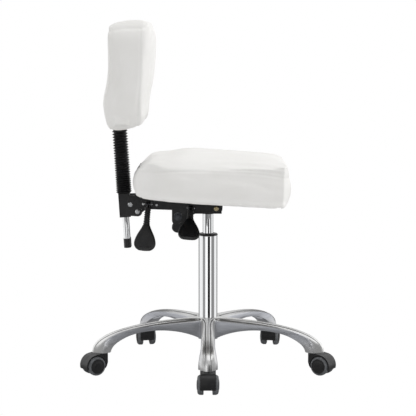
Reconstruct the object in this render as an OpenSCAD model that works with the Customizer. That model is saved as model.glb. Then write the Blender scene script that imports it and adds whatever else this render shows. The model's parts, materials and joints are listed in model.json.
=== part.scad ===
// Rolling salon stool with a height-adjustable gas column, a tilting saddle seat
// and a backrest that reclines and slides up and down.
// +X is the way the sitter faces, +Z is up. The origin is on the floor, under the column.

/* [Base] */
// Radius from the column to each caster stem
base_r = 295; // [260:1:340]
// Height of the feet's underside above the floor
foot_h = 58; // [56:1:75]
// Radius of each foot
foot_r = 24; // [22:0.5:28]
// Half-width of an arm along its middle
arm_half = 18; // [15:0.5:21]
// Height of the hub's top face above the feet
hub_rise = 76; // [65:1:95]
// Length of the hub's sleeve
hub_len = 56; // [48:1:62]
// Wall thickness of the casting
cast_wall = 5; // [4:0.5:6]

/* [Casters] */
// Diameter of a wheel
wheel_d = 50; // [44:1:52]
// Width of one wheel
wheel_w = 18; // [14:0.5:20]
// Gap between the two wheels of a caster
wheel_gap = 21; // [18:0.5:25]
// Distance from the stem to the axle
trail = 23; // [20:0.5:26]
// Diameter of a caster stem
stem_d = 11; // [8:1:11]
// Diameter of a wheel axle
axle_d = 8; // [6:0.5:9]
// Radial thickness of the hood over the wheels
hood_t = 3; // [2:0.5:4]

/* [Column] */
// Outer diameter of the column tube
column_d = 50; // [46:1:54]
// Length of the column tube
column_len = 280; // [240:1:330]
// Wall thickness of the column tube
column_wall = 1.8; // [1.5:0.1:2.5]
// Diameter of the gas spring's pressure tube
piston_d = 28; // [26:1:30]
// Wall thickness of the pressure tube
piston_wall = 1.8; // [1.5:0.1:2.5]
// Diameter of the gas spring's rod
rod_d = 10; // [8:1:12]
// Height of the seat's lift
lift_stroke = 180; // [100:1:180]
// Length of pressure tube that shows at the lowest seat height
piston_show = 53; // [40:1:80]

/* [Mechanism] */
// Thickness of the pressed steel
steel_t = 3; // [2.5:0.25:3.5]
// Half-width of the column bracket, outside
bracket_half = 40; // [36:1:46]
// Gap between the cone socket and the bolt of the seat's tilt pivot
pivot_gap = 0.5; // [0.3:0.1:6]
// Height of the tilt pivot above the column bracket's underside
pivot_rise = 14; // [13:1:18]
// Forward pitch of the seat at rest, in degrees
seat_pitch = 4.2; // [0:0.1:6]
// Travel of the seat's tilt, in degrees
tilt_travel = 8; // [4:0.5:10]
// Diameter of the pivot bolts and the lock rod
bolt_d = 8; // [6:1:10]
// Length of a lever's paddle
paddle_len = 72; // [60:1:90]
// Greatest width of a lever's paddle
paddle_w = 56; // [44:1:60]
// Thickness of a lever's paddle
paddle_t = 11; // [10.5:0.5:14]

/* [Seat] */
// Length of the seat cushion
seat_len = 417; // [380:1:480]
// Width of the seat cushion
seat_wid = 396; // [350:1:450]
// Thickness of the seat cushion at its middle
seat_thick = 121; // [105:1:150]
// Thickness of the seat board
board_t = 12; // [9:1:15]

/* [Backrest] */
// Backward lean of the backrest stem at rest, in degrees
stem_lean = 3.6; // [0:0.1:8]
// Width of the backrest pad
back_wid = 340; // [280:1:400]
// Height of the backrest pad
back_high = 287; // [250:1:340]
// Distance from the stem's lower end to the underside of the pad
stem_reach = 314; // [296:1:350]
// Front-to-back depth of the stem tube
stem_deep = 16; // [14:0.5:20]
// Side-to-side width of the stem tube
stem_wide = 38; // [30:1:44]
// Number of folds in the stem's rubber bellows
bellows_folds = 26; // [18:1:32]

/* [Hidden] */
$fn = 48;
run = 0.05;          // radial clearance of a shaft that turns or slides in its hole
gap = 0.3;           // clearance between neighbours that move past each other
over = 1;            // how far a cutting tool passes the face it cuts

// ---- base and casters
arms = 5;
first_arm = -90;                          // the first arm points to the sitter's right
caster_turn = [0, -15, 24, -24, 15];      // how far each caster is swivelled from its arm
hub_top = foot_h + hub_rise;
hub_bottom = hub_top - hub_len;
hub_r = column_d / 2 + cast_wall;
socket_depth = 22;                        // depth of the stem's socket in a foot
wheel_r = wheel_d / 2;
hood_gap = 1.6;                           // radial gap between a wheel and its hood
hood_r = wheel_r + hood_gap + hood_t;
side_gap = 0.6;                           // gap between a wheel and the web beside it
web_w = wheel_gap - 2 * side_gap;
hood_w = wheel_gap + wheel_w;             // the hood covers the inner half of each wheel
hood_cut = 17;                            // height of the hood's lower edge
housing_front = stem_d / 2 + 4;           // how far the housing reaches in front of the stem
stem_seat = 36;                           // height at which the stem bottoms in the housing
swivel_gap = 1;                           // gap between a housing and the foot above it
axle_end = 2.5;                           // wall of the wheel's cap beyond the axle

// ---- column
column_z = hub_bottom - 4;
column_top = column_z + column_len;
taper_drop = 1.4;                         // how much the tube's radius shrinks to its lower end
collar_t = 5;
collar_top = column_top + collar_t;
end_plate = 3;
rod_end = rod_d - 2;                      // the rod is stepped down where it passes through the bearing
bearing_h = 6;
bumper_h = 12;
bush_len = 50;
tube_z = column_z + 2 + end_plate + bearing_h + bumper_h + 1;
socket_z = collar_top + piston_show;
socket_len = 28;
socket_wall = 3.5;
piston_top = socket_z + socket_len;
piston_taper = 0.7;                       // how much the pressure tube's top shrinks in radius
seal_h = 8;
head_h = 12;
head_z = tube_z + lift_stroke + seal_h + 24;
pin_d = 6;
pin_show = 7;
pin_len = 40;
pin_travel = 6;

// ---- mechanism
channel_z = socket_z + 4;
pivot_x = piston_d / 2 + socket_wall + bolt_d / 2 + pivot_gap;
channel_front = pivot_x + 14;
channel_rear = pivot_x - 117;
channel_top = 28;                         // height of the bracket's side plates
pivot_z = channel_z + pivot_rise;
frame_in = bracket_half + 1;              // inner face of the seat frame's flanges
frame_out = frame_in + steel_t;
plate_z = 25;                             // underside of the seat frame's plate above the pivot
seat_bolt_at = [for (x = [-128, -8]) for (y = [-65, 65]) [x, y]];
seat_z = plate_z + steel_t;               // underside of the seat board above the pivot
lock_x = -99;                             // lock rod, from the pivot, in the seat's own frame
lock_z = -28;
lock_r = norm([lock_x, lock_z]);
lock_a = atan2(lock_z, lock_x) + 360;
back_x = -207;                            // backrest pivot, from the tilt pivot, in the seat's frame
back_z = -26;
clutch_x = [-157, -192.5];                // places of the flange bolts, from the tilt pivot
lug_in = 16.5;                            // inner face of the lugs that carry the backrest
ear_in = lug_in + steel_t + 0.5;
ear_t = 6;
ear_out = ear_in + ear_t;

// ---- levers: [place along the seat's frame, height, reach of the bare neck, droop, side]
lever_y = frame_out + 5.5;
recline_at = [-179, 0, 64, 56];
tilt_at = [-67, -2, 44, 38];
gas_at = [-71, channel_z + 12, 40, 49];
gas_arm_x = -20;                          // where the height lever's shaft hangs and its arm goes in
hub_half = 6;
lug_t = 2.5;
rod_r = 4;
rod_in = 28;                              // how far a lever's rod reaches into its paddle
pin_r = 2.5;
gas_y = frame_out + 5.5;
ear_gap = hub_half + gap + lug_t / 2;     // from a lever's middle to the middle of each ear

// ---- backrest
stem_foot = [-213.5, -108];               // centre of the stem's lower end, from the pivot's height
cap_h = 25;
sleeve_lo = 83;                           // sleeve's lower end along the stem
sleeve_hi = 146;                          // sleeve's upper end along the stem
sleeve_deep = stem_deep + 13;
sleeve_wide = 2 * ear_out - 1;
slide_gap = 0.2;
stem_in_pad = 130;
back_board_t = 10;
back_screw_z = [30, 100];                 // heights of the board's screws above the pad's underside

function bez(p, t) =
  pow(1 - t, 3) * p[0] + 3 * t * pow(1 - t, 2) * p[1] + 3 * t * t * (1 - t) * p[2] + pow(t, 3) * p[3];
function curve(p, n) = [for (i = [0:n]) bez(p, i / n)];
function arc(c, r, a0, a1, n) =
  [for (i = [0:n]) let (a = a0 + (a1 - a0) * i / n) [c[0] + r * cos(a), c[1] + r * sin(a)]];
function smooth(a, b, x) = let (t = min(1, max(0, (x - a) / (b - a)))) t * t * (3 - 2 * t);
function arm_angle(k) = first_arm + k * 360 / arms;
function arm_w(r) =
  arm_half + (foot_r - arm_half) * smooth(base_r * 0.68, base_r, r) + 6 * (1 - smooth(25, 90, r));

// ======== base ========

// Side view of an arm, from the hub to the foot.
module arm_side() {
  top = [[20, hub_top + 1], [base_r * 0.51, hub_top - 1],
         [base_r + foot_r - 1, hub_top - 14], [base_r + foot_r - 1, foot_h]];
  under = [[base_r - foot_r, foot_h], [base_r - foot_r - 9, foot_h + 48],
           [base_r * 0.41, foot_h + 70], [hub_r - 2, hub_bottom]];
  polygon(concat(curve(top, 16), curve(under, 14)));
}

// Side view of the hollow under an arm.
module arm_hollow_side() {
  top = [[hub_r + 12, hub_top - 1 - cast_wall], [base_r * 0.51, hub_top - 1 - cast_wall],
         [base_r - foot_r - 8, hub_top - 12 - cast_wall], [base_r - foot_r - 8, foot_h + 24]];
  polygon(concat(curve(top, 10), [[base_r - foot_r - 8, foot_h - over], [hub_r + 12, foot_h - over]]));
}

// Plan view of an arm along +X; inset narrows it.
module arm_plan(inset = 0) {
  steps = 9;
  r0 = 10;
  r1 = base_r;
  side = [for (i = [0:steps]) let (r = r0 + (r1 - r0) * i / steps) [r, arm_w(r) - inset]];
  mirrored = [for (i = [steps:-1:0]) [side[i][0], -side[i][1]]];
  polygon(concat(side, mirrored));
  if (inset == 0) translate([base_r, 0]) circle(foot_r);
}

module upright(w) {
  rotate([90, 0, 0]) translate([0, 0, -w / 2]) linear_extrude(w) children();
}

module arm() {
  difference() {
    intersection() {
      linear_extrude(hub_top + 20) arm_plan();
      upright(100) arm_side();
    }
    intersection() {
      linear_extrude(hub_top + 20) arm_plan(cast_wall);
      upright(100) arm_hollow_side();
    }
  }
}

module star_base() {
  color("gainsboro") difference() {
    union() {
      for (k = [0:arms - 1]) rotate([0, 0, arm_angle(k)]) arm();
      translate([0, 0, hub_bottom]) cylinder(r = hub_r, h = hub_len - 1);
    }
    // taper in which the column wedges
    translate([0, 0, hub_bottom])
      cylinder(r1 = column_d / 2 - taper_drop + run, r2 = column_d / 2 + run, h = hub_len - 1);
    translate([0, 0, column_z]) cylinder(r = column_d / 2 - taper_drop + run, h = 10);
    translate([0, 0, hub_top - 1.001]) cylinder(r = column_d / 2 + run, h = 20);
    for (k = [0:arms - 1]) rotate([0, 0, arm_angle(k)]) translate([base_r, 0, foot_h - over])
      cylinder(d = stem_d + 2 * run, h = socket_depth + over);
  }
}

module caster_stems() {
  color("silver") for (k = [0:arms - 1])
    rotate([0, 0, arm_angle(k)]) translate([base_r, 0, 0]) {
      translate([0, 0, stem_seat + gap]) cylinder(d = stem_d, h = foot_h - stem_seat + socket_depth - 1);
    }
}

// Puts a piece on caster k, with +X along the way its wheels trail.
module on_caster(k) {
  rotate([0, 0, arm_angle(k)]) translate([base_r, 0, 0]) rotate([0, 0, caster_turn[k]]) children();
}

// Side view of the housing: the hood's arc behind, the stem's boss in front.
module housing_side() {
  top = foot_h - swivel_gap;
  low = asin((hood_cut - wheel_r) / hood_r);
  front = -housing_front;
  polygon(concat(
    [[front + 1, top], [front, top - 1], [front, hood_cut + 15], [front + 3, hood_cut + 6],
     [front + 7, hood_cut]],
    arc([trail, wheel_r], hood_r, low, 84, 22),
    [[-front, top]]));
}

module caster_housing(k) {
  color("#1e1e22") on_caster(k) difference() {
    upright(hood_w) housing_side();
    for (s = [-1, 1]) translate([trail, s * (web_w / 2 + 20), wheel_r]) rotate([90, 0, 0])
      cylinder(r = wheel_r + hood_gap, h = 40, center = true);
    translate([trail, 0, wheel_r]) rotate([90, 0, 0]) cylinder(d = axle_d + 0.04, h = hood_w, center = true);
    translate([0, 0, stem_seat]) cylinder(d = stem_d + 2 * run, h = foot_h);
  }
}

module caster_axle(k) {
  reach = wheel_gap + 2 * (wheel_w - axle_end - 0.6);
  color("silver") on_caster(k) translate([trail, 0, wheel_r]) rotate([90, 0, 0])
    cylinder(d = axle_d, h = reach, center = true);
}

// A wheel with a rounded tread and a blind hub; side is 1 for the left, -1 for the right.
module caster_wheel(k, side) {
  bore = axle_d / 2 + run;
  cap = wheel_r * 0.79;
  edge = curve([[wheel_r, wheel_w * 0.62], [wheel_r, wheel_w * 0.85], [wheel_r - 2, wheel_w - 0.5],
                [cap + 0.8, wheel_w - 0.4]], 6);
  profile = concat([[bore, 0], [wheel_r - 1.5, 0], [wheel_r, 1.5]], edge,
                   [[cap, wheel_w - 1.4], [cap - 2, wheel_w - 0.8], [0, wheel_w], [0, wheel_w - axle_end],
                    [bore, wheel_w - axle_end]]);
  color("#2b2b30") on_caster(k) translate([trail, side * wheel_gap / 2, wheel_r])
    rotate([-90 * side, 0, 0]) rotate_extrude() polygon(profile);
}

// ======== column ========

module column_tube() {
  r = column_d / 2;
  low = r - taper_drop;
  bore = r - column_wall;
  low_bore = low - column_wall;
  rise = hub_bottom - column_z;
  color("gainsboro") translate([0, 0, column_z]) rotate_extrude() polygon([
    [rod_end / 2 + 1, 2], [rod_end / 2 + 1, 2 + end_plate], [low_bore, 2 + end_plate], [low_bore, rise],
    [bore, rise + hub_len - 1], [bore, column_len], [r, column_len], [r, rise + hub_len - 1],
    [low, rise], [low, 0], [low_bore, 0], [low_bore, 2]]);
}

module guide_bush() {
  bore = piston_d / 2 + run;
  barrel = column_d / 2 - column_wall - run;
  rim = column_d / 2 + 0.8;
  color("#17171a") rotate_extrude() polygon([
    [bore, column_top - bush_len], [barrel - 1, column_top - bush_len], [barrel, column_top - bush_len + 2],
    [barrel, column_top], [rim - 0.8, column_top], [rim, column_top + 0.8], [rim, collar_top - 1.5],
    [rim - 1.5, collar_top], [bore + 2, collar_top], [bore, collar_top - 1.5]]);
}

module washer(z, r_in, r_out, h) {
  translate([0, 0, z]) difference() {
    cylinder(r = r_out, h = h);
    translate([0, 0, -over]) cylinder(r = r_in, h = h + 2 * over);
  }
}

// Two races with a ring of balls between them.
module thrust_bearing() {
  z = column_z + 2 + end_plate + 0.05;
  r_in = rod_end / 2 + run;
  ball = 1.4;
  color("silver") {
    washer(z, r_in, r_in + 9, bearing_h / 2 - ball - 0.05);
    washer(z + bearing_h / 2 + ball, r_in, r_in + 9, bearing_h / 2 - ball - 0.05);
    for (i = [0:7]) rotate([0, 0, i * 45]) translate([r_in + 4.5, 0, z + bearing_h / 2 - 0.02])
      sphere(r = ball);
  }
}

module column_bumper() {
  z = column_z + 2 + end_plate + bearing_h + 0.1;
  color("#202024") washer(z, rod_d / 2 + run, rod_d / 2 + 6, bumper_h);
}

// Spring clip in the rod's groove, under the column's end plate.
module column_clip() {
  color("silver") translate([0, 0, column_z + 0.1]) difference() {
    cylinder(r = rod_end / 2 + 3, h = 1.2);
    translate([0, 0, -over]) cylinder(r = rod_end / 2 - 1 + run, h = 4);
    translate([0, -rod_end / 2 + 1, -over]) cube([20, rod_end - 2, 4]);
  }
}

module piston_rod() {
  r = rod_d / 2;
  e = rod_end / 2;
  z0 = column_z - 2;
  step = column_z + 2 + end_plate + bearing_h + 0.1;
  color("silver") rotate_extrude() polygon([
    [0, z0], [e, z0], [e, column_z], [e - 1, column_z], [e - 1, column_z + 1.4], [e, column_z + 1.4],
    [e, step], [r, step], [r, head_z], [piston_d / 2 - piston_wall - run, head_z],
    [piston_d / 2 - piston_wall - run, head_z + head_h], [0, head_z + head_h]]);
}

module pressure_tube() {
  r = piston_d / 2;
  bore = r - piston_wall;
  seal = rod_d / 2 + run;
  pin_z = piston_top + pin_show - pin_len - pin_travel;
  color("gainsboro") rotate_extrude() polygon([
    [seal, tube_z], [r - 1, tube_z], [r, tube_z + 1], [r, socket_z], [r - piston_taper, piston_top],
    [pin_d / 2 + run, piston_top], [pin_d / 2 + run, pin_z], [0, pin_z], [0, head_z + head_h + 6],
    [bore, head_z + head_h + 6], [bore, tube_z + seal_h], [seal, tube_z + seal_h]]);
}

module release_pin() {
  z = piston_top + pin_show - pin_len;
  color("silver") rotate_extrude() polygon([
    [0, z], [pin_d / 2, z], [pin_d / 2, z + pin_len - 1], [pin_d / 2 - 1, z + pin_len], [0, z + pin_len]]);
}

// ======== mechanism ========

module cone_socket() {
  r = piston_d / 2;
  color("#26262a") translate([0, 0, socket_z]) difference() {
    cylinder(r = r + socket_wall, h = socket_len - 2);
    translate([0, 0, -0.001]) cylinder(r1 = r + 0.02, r2 = r - piston_taper + 0.02, h = socket_len);
  }
}

// Turns a piece into the seat's own frame: origin at the tilt pivot, pitched with the seat.
module on_seat() {
  translate([pivot_x, 0, pivot_z]) rotate([0, seat_pitch, 0]) children();
}

module bolt_hole(x, z, d, w = 200) {
  translate([x, 0, z]) rotate([90, 0, 0]) cylinder(d = d, h = w, center = true);
}

// Side plate of the column bracket, about the tilt pivot; its lobe carries the lock slot.
module channel_side() {
  x0 = channel_rear - pivot_x;
  x1 = channel_front - pivot_x;
  z0 = -pivot_rise;
  lobe_z = lock_r * sin(lock_a - seat_pitch + tilt_travel) - 9;
  polygon(concat(
    [[x1, z0 + channel_top - 2], [x1 - 2, z0 + channel_top], [x0 + 3, z0 + channel_top],
     [x0, z0 + channel_top - 3], [x0, lobe_z + 12]],
    arc([x0 + 12, lobe_z + 12], 12, 180, 270, 6),
    arc([-62 - 12, lobe_z + 12], 12, 270, 360, 6),
    [[-62, z0 - 3], [-56, z0], [x1 - 2, z0], [x1, z0 + 2]]));
}

module mech_channel() {
  slot_r0 = lock_r - bolt_d / 2 - gap;
  slot_r1 = lock_r + bolt_d / 2 + gap;
  a0 = lock_a - seat_pitch;
  a1 = a0 + tilt_travel;
  color("#1b1b1f") difference() {
    translate([pivot_x, 0, pivot_z]) union() {
      for (s = [-1, 1]) translate([0, s * (bracket_half - steel_t / 2), 0]) upright(steel_t) channel_side();
      translate([-60, -bracket_half + 1, -pivot_rise])
        cube([channel_front - pivot_x + 59, 2 * bracket_half - 2, steel_t]);
      translate([channel_front - pivot_x - steel_t, -bracket_half + 1, -pivot_rise])
        cube([steel_t, 2 * bracket_half - 2, channel_top - 8]);
    }
    cylinder(r = piston_d / 2 + socket_wall + 0.02, h = 2 * pivot_z);
    translate([pivot_x, 0, pivot_z]) {
      bolt_hole(0, 0, bolt_d + 2 * run);
      upright(200) polygon(concat(
        arc([0, 0], slot_r0, a0 - 2.5, a1 + 2.5, 12), arc([0, 0], slot_r1, a1 + 2.5, a0 - 2.5, 12)));
    }
    // slot through which the height lever's arm passes
    translate([gas_arm_x, bracket_half, gas_at[1]]) cube([2 * hub_half, 20, 15], center = true);
  }
  // ears that carry the height lever's shaft
  color("#1b1b1f") for (s = [-1, 1]) translate([gas_arm_x + s * ear_gap, 0, gas_at[1]]) difference() {
    union() {
      translate([-lug_t / 2, bracket_half - 0.5, -5.5]) cube([lug_t, gas_y - bracket_half + 0.5, 11]);
      translate([0, gas_y, 0]) rotate([0, 90, 0]) cylinder(r = rod_r + 3, h = lug_t, center = true);
    }
    translate([0, gas_y, 0]) rotate([0, 90, 0]) cylinder(r = rod_r + run, h = 20, center = true);
  }
}

module bolt_y(x, z, d, grip, head_d) {
  translate([x, 0, z]) rotate([90, 0, 0]) {
    cylinder(d = d, h = 2 * grip + 8, center = true);
    translate([0, 0, grip + 0.1]) cylinder(d1 = head_d, d2 = head_d - 3, h = 4.5);
    translate([0, 0, -grip - 0.1 - 6]) cylinder(d = head_d, h = 6, $fn = 6);
  }
}

module tilt_pivot_bolt() {
  color("#c9b98a") translate([pivot_x, 0, pivot_z]) bolt_y(0, 0, bolt_d, frame_out, 13);
}

// Flange of the seat frame, with the lug that carries the lock rod.
module flange_side() {
  lug = 13;
  polygon(concat(
    [[16, plate_z + steel_t], [16, -4]],
    arc([4, 0], 12, -20, -80, 4),
    [[lock_x + 32, -9]],
    arc([lock_x, lock_z], lug, 0, -180, 14),
    [[lock_x - lug - 1, -12], [-192, -15]],
    arc([-192, -9], 6, 270, 180, 4),
    [[-198, plate_z - 8], [-184, plate_z + steel_t]]));
}

// Lug that reaches down to the backrest's pivot.
module back_lug_side() {
  polygon(concat(
    [[-160, plate_z + 0.5], [-160, plate_z - 22]],
    arc([back_x, back_z], 9, -55, -180, 8),
    [[back_x - 9, back_z + 8], [-190, plate_z + 0.5]]));
}

module lever_ears(x, z, y) {
  for (s = [-1, 1]) translate([x + s * ear_gap, 0, z]) difference() {
    translate([0, y + 1, 0]) cube([lug_t, 12, 11], center = true);
    translate([0, y, 0]) rotate([0, 90, 0]) cylinder(r = pin_r + 0.02, h = 20, center = true);
  }
}

module seat_frame() {
  half = frame_out;
  color("#1b1b1f") on_seat() {
    difference() {
      union() {
        translate([-184, -half, plate_z]) cube([200, 2 * half, steel_t]);
        translate([-150, -78, plate_z]) cube([44, 156, steel_t]);
        translate([-30, -78, plate_z]) cube([44, 156, steel_t]);
        for (s = [-1, 1]) {
          translate([0, s * (frame_in + steel_t / 2), 0]) upright(steel_t) flange_side();
          translate([0, s * (lug_in + steel_t / 2), 0]) upright(steel_t) back_lug_side();
        }
      }
      bolt_hole(0, 0, bolt_d + 2 * run);
      bolt_hole(lock_x, lock_z, bolt_d + 0.04);
      bolt_hole(back_x, back_z, bolt_d + 0.04);
      for (p = seat_bolt_at) translate([p[0], p[1], 0]) cylinder(d = 6.6, h = 60);
      for (x = clutch_x) bolt_hole(x, -2, 5 + 0.04);
      // notch that clears the height lever's ears through the whole tilt
      translate([gas_arm_x - pivot_x - 14, frame_in - over, -40]) cube([28, steel_t + 2 * over, 49]);
    }
    lever_ears(recline_at[0], recline_at[1], -lever_y);
    lever_ears(tilt_at[0], tilt_at[1], -lever_y);
  }
}

// Rod that clamps the friction plates, with a broad washer and a nut at each end.
module tilt_lock_rod() {
  color("#8d8d92") on_seat() translate([lock_x, 0, lock_z]) rotate([90, 0, 0]) {
    cylinder(d = bolt_d, h = 2 * frame_out + 16, center = true);
    for (s = [-1, 1]) scale([1, 1, s]) translate([0, 0, frame_out + 0.1]) {
      cylinder(d = 22, h = 2.5);
      translate([0, 0, 2.5]) cylinder(d = 13, h = 5, $fn = 6);
    }
  }
}

module clutch_bolts() {
  color("silver") on_seat() for (x = clutch_x) for (s = [-1, 1]) scale([1, s, 1])
    translate([x, 0, -2]) rotate([90, 0, 0]) {
      translate([0, 0, frame_in - 2]) cylinder(d = 5, h = steel_t + 3);
      translate([0, 0, frame_out + 0.1]) cylinder(d1 = 6.6, d2 = 5.4, h = 2.5);
    }
}

module lever_pins() {
  color("silver") on_seat() for (p = [recline_at, tilt_at])
    translate([p[0], -lever_y, p[1]]) rotate([0, 90, 0])
      cylinder(r = pin_r, h = 2 * (hub_half + gap + lug_t) + 3, center = true);
}

// Push-on cap at the front end of the height lever's shaft.
module gas_lever_cap() {
  color("silver") translate([gas_arm_x + ear_gap + lug_t / 2 + gap, gas_y, gas_at[1]]) rotate([0, 90, 0])
    difference() {
      cylinder(r = rod_r + 2.5, h = 4);
      translate([0, 0, -over]) cylinder(r = rod_r + 0.02, h = 3 + over);
    }
}

// A lever's steel part: a hub on the pin and a rod out to the paddle, along -Y and drooping.
module lever_steel(neck, droop) {
  difference() {
    union() {
      rotate([0, 90, 0]) cylinder(r = 5, h = 2 * hub_half, center = true);
      rotate([-droop, 0, 0]) translate([0, -2, 0]) rotate([90, 0, 0])
        cylinder(r = rod_r, h = neck + rod_in - 2);
    }
    rotate([0, 90, 0]) cylinder(r = pin_r + run, h = 60, center = true);
  }
}

// Outline of a paddle in the XY plane, its neck towards +Y and its broad end towards -Y.
module paddle_outline() {
  w = paddle_w / 2;
  n = 9.5;
  c = 15;
  low = -paddle_len;
  polygon(concat(
    [[-n, 0], [-n, -8]],
    curve([[-n, -8], [-n - 2, -22], [-w - 2, low + c + 14], [-w, low + c + 2]], 6),
    arc([-w + c, low + c], c, 180, 255, 6),
    [[0, low]],
    arc([w - c, low + c], c, 285, 360, 6),
    curve([[w, low + c + 2], [w + 2, low + c + 14], [n + 2, -22], [n, -8]], 6),
    [[n, -8], [n, 0]]));
}

// The moulded handle: a ribbed neck sleeve and a flat paddle with a bore for the rod.
module lever_paddle(neck, droop) {
  sleeve = neck - 12;
  rotate([-droop, 0, 0]) difference() {
    union() {
      translate([0, -neck, -paddle_t / 2]) linear_extrude(paddle_t) paddle_outline();
      translate([-9, -neck - 2, -6.2]) cube([18, sleeve + 2, 12.4]);
    }
    rotate([90, 0, 0]) cylinder(r = rod_r + 0.04, h = neck + rod_in + 0.3);
  }
}

module on_recline() { on_seat() translate([recline_at[0], -lever_y, recline_at[1]]) children(); }
module on_tilt() { on_seat() translate([tilt_at[0], -lever_y, tilt_at[1]]) children(); }

module recline_lever() { color("#77777c") on_recline() lever_steel(recline_at[2], -recline_at[3]); }
module recline_paddle() { color("#17171a") on_recline() lever_paddle(recline_at[2], -recline_at[3]); }
module tilt_lever() { color("#77777c") on_tilt() lever_steel(tilt_at[2], -tilt_at[3]); }
module tilt_paddle() { color("#17171a") on_tilt() lever_paddle(tilt_at[2], -tilt_at[3]); }

// The height lever: a shaft along X, with a drooping rod for the paddle at its rear end and an
// arm in to a finger that lies over the release pin.
module gas_lever() {
  finger_z = piston_top + pin_show + gap - gas_at[1];
  shaft_front = gas_arm_x + ear_gap + lug_t / 2 + gap + 3;
  in_y = 22 - gas_y;
  color("#77777c") translate([0, gas_y, gas_at[1]]) {
    translate([gas_at[0] - 6, 0, 0]) rotate([0, 90, 0]) cylinder(r = rod_r, h = shaft_front - gas_at[0] + 6);
    translate([gas_at[0], 0, 0]) rotate([-90 - gas_at[3], 0, 0])
      cylinder(r = rod_r, h = gas_at[2] + rod_in);
    translate([gas_arm_x - 5, in_y, -3]) cube([10, -in_y, 6]);
    translate([gas_arm_x - 5, in_y, -3]) cube([10 - gas_arm_x, 8, 6]);
    translate([-5, in_y, -3]) cube([10, 8, finger_z + 7]);
    translate([-5, -gas_y - 4, finger_z]) cube([10, in_y + gas_y + 12, 4]);
  }
}

module gas_paddle() {
  color("#17171a") translate([gas_at[0], gas_y, gas_at[1]])
    mirror([0, 1, 0]) lever_paddle(gas_at[2], -gas_at[3]);
}

// Torsion spring round the backrest's pivot, as a wire swept along a helix.
module recline_spring() {
  wire = 1.6;
  r = bolt_d / 2 + 0.6 + wire;
  turns = 5;
  per = 14;
  sides = 8;
  half = lug_in - wire - 0.6;
  n = turns * per;
  ring = [for (i = [0:n]) let (a = i * 360 / per, y = -half + 2 * half * i / n)
    for (j = [0:sides - 1]) let (b = j * 360 / sides, q = r + wire * cos(b))
      [q * cos(a), y + wire * sin(b), q * sin(a)]];
  skin = [for (i = [0:n - 1]) for (j = [0:sides - 1]) let (k = (j + 1) % sides)
    for (f = [[i * sides + j, (i + 1) * sides + j, (i + 1) * sides + k],
              [i * sides + j, (i + 1) * sides + k, i * sides + k]]) f];
  ends = [[for (j = [0:sides - 1]) j], [for (j = [sides - 1:-1:0]) n * sides + j]];
  color("silver") on_seat() translate([back_x, 0, back_z])
    polyhedron(points = ring, faces = concat(skin, ends));
}

module back_pivot_bolt() {
  color("silver") on_seat() bolt_y(back_x, back_z, bolt_d, ear_out, 12.5);
}

// ======== backrest ========

// Puts a piece on the stem: +Z runs up along it from its lower end, +X is forward.
module on_stem() {
  translate([stem_foot[0], 0, pivot_z + stem_foot[1]]) rotate([0, -stem_lean, 0]) children();
}

// A stadium: two round ends side by side along Y.
module stadium(deep, wide) {
  translate([-deep / 2, -(wide - deep) / 2]) square([deep, wide - deep]);
  for (s = [-1, 1]) translate([0, s * (wide - deep) / 2]) circle(d = deep);
}

module back_stem() {
  wall = 2;
  color("gainsboro") on_stem() difference() {
    translate([0, 0, cap_h - 6]) linear_extrude(stem_reach + stem_in_pad - cap_h)
      stadium(stem_deep, stem_wide);
    translate([0, 0, cap_h - 10]) linear_extrude(stem_reach + stem_in_pad)
      stadium(stem_deep - 2 * wall, stem_wide - 2 * wall);
    for (z = back_screw_z) translate([0, 0, stem_reach + z]) rotate([0, 90, 0])
      cylinder(d = 5.2, h = 60, center = true);
  }
}

module stem_cap() {
  color("#17171a") on_stem() difference() {
    linear_extrude(cap_h) stadium(stem_deep + 3, stem_wide + 3);
    translate([0, 0, cap_h - 6 - 0.05]) linear_extrude(cap_h) stadium(stem_deep + 0.04, stem_wide + 0.04);
  }
}

// Ear of the backrest bracket, from the sleeve forward to the pivot, in the seat's frame.
module ear_side() {
  polygon(concat(
    arc([back_x + 0.5, back_z], 12, -90, 60, 10),
    [[back_x + 12, back_z + 22], [back_x + 4, back_z + 40], [back_x - 7, back_z + 44],
     [back_x - 27, back_z + 42], [back_x - 28, back_z - 12]]));
}

module back_bracket() {
  color("#1b1b1f") difference() {
    union() {
      on_stem() translate([0, 0, sleeve_lo]) linear_extrude(sleeve_hi - sleeve_lo)
        translate([-sleeve_deep / 2, -sleeve_wide / 2]) square([sleeve_deep, sleeve_wide]);
      on_seat() {
        for (s = [-1, 1]) translate([0, s * (ear_in + ear_t / 2), 0]) upright(ear_t) ear_side();
        // bridge between the ears, which the clamp bolt passes through
        translate([back_x - 30, -ear_in - 1, back_z + 11]) cube([17, 2 * ear_in + 2, 15]);
      }
    }
    on_stem() linear_extrude(sleeve_hi + 20)
      stadium(stem_deep + 2 * slide_gap, stem_wide + 2 * slide_gap);
    on_seat() bolt_hole(back_x, back_z, bolt_d + 2 * run);
    on_seat() bolt_hole(back_x - 20, back_z + 18, 6 + 0.04);
  }
}

module stem_clamp_bolt() {
  color("silver") on_seat() bolt_y(back_x - 20, back_z + 18, 6, ear_out, 13);
}

// Rubber bellows: folds that step in and out along the stem, closer together at the bottom.
module bellows() {
  z0 = sleeve_hi + 0.2;
  z1 = stem_reach - 0.2;
  deep = stem_deep + 24;
  wide = stem_wide + 24;
  inner = 8;
  n = bellows_folds;
  // fold positions: the pitch grows linearly, the top fold being 1.45 times the bottom one
  grow = 0.45;
  function at(i) = z0 + (z1 - z0) * (i / n + grow / 2 * (i / n) * (i / n)) / (1 + grow / 2);
  color("#17171a") on_stem() difference() {
    union() {
      translate([0, 0, z0]) linear_extrude(z1 - z0) stadium(deep - 8, wide - 8);
      for (i = [0:n - 1]) {
        h = at(i + 1) - at(i);
        translate([0, 0, at(i) + h * 0.3]) linear_extrude(h * 0.4) stadium(deep, wide);
      }
    }
    linear_extrude(stem_reach + 20) stadium(stem_deep + inner, stem_wide + inner);
  }
}

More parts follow.
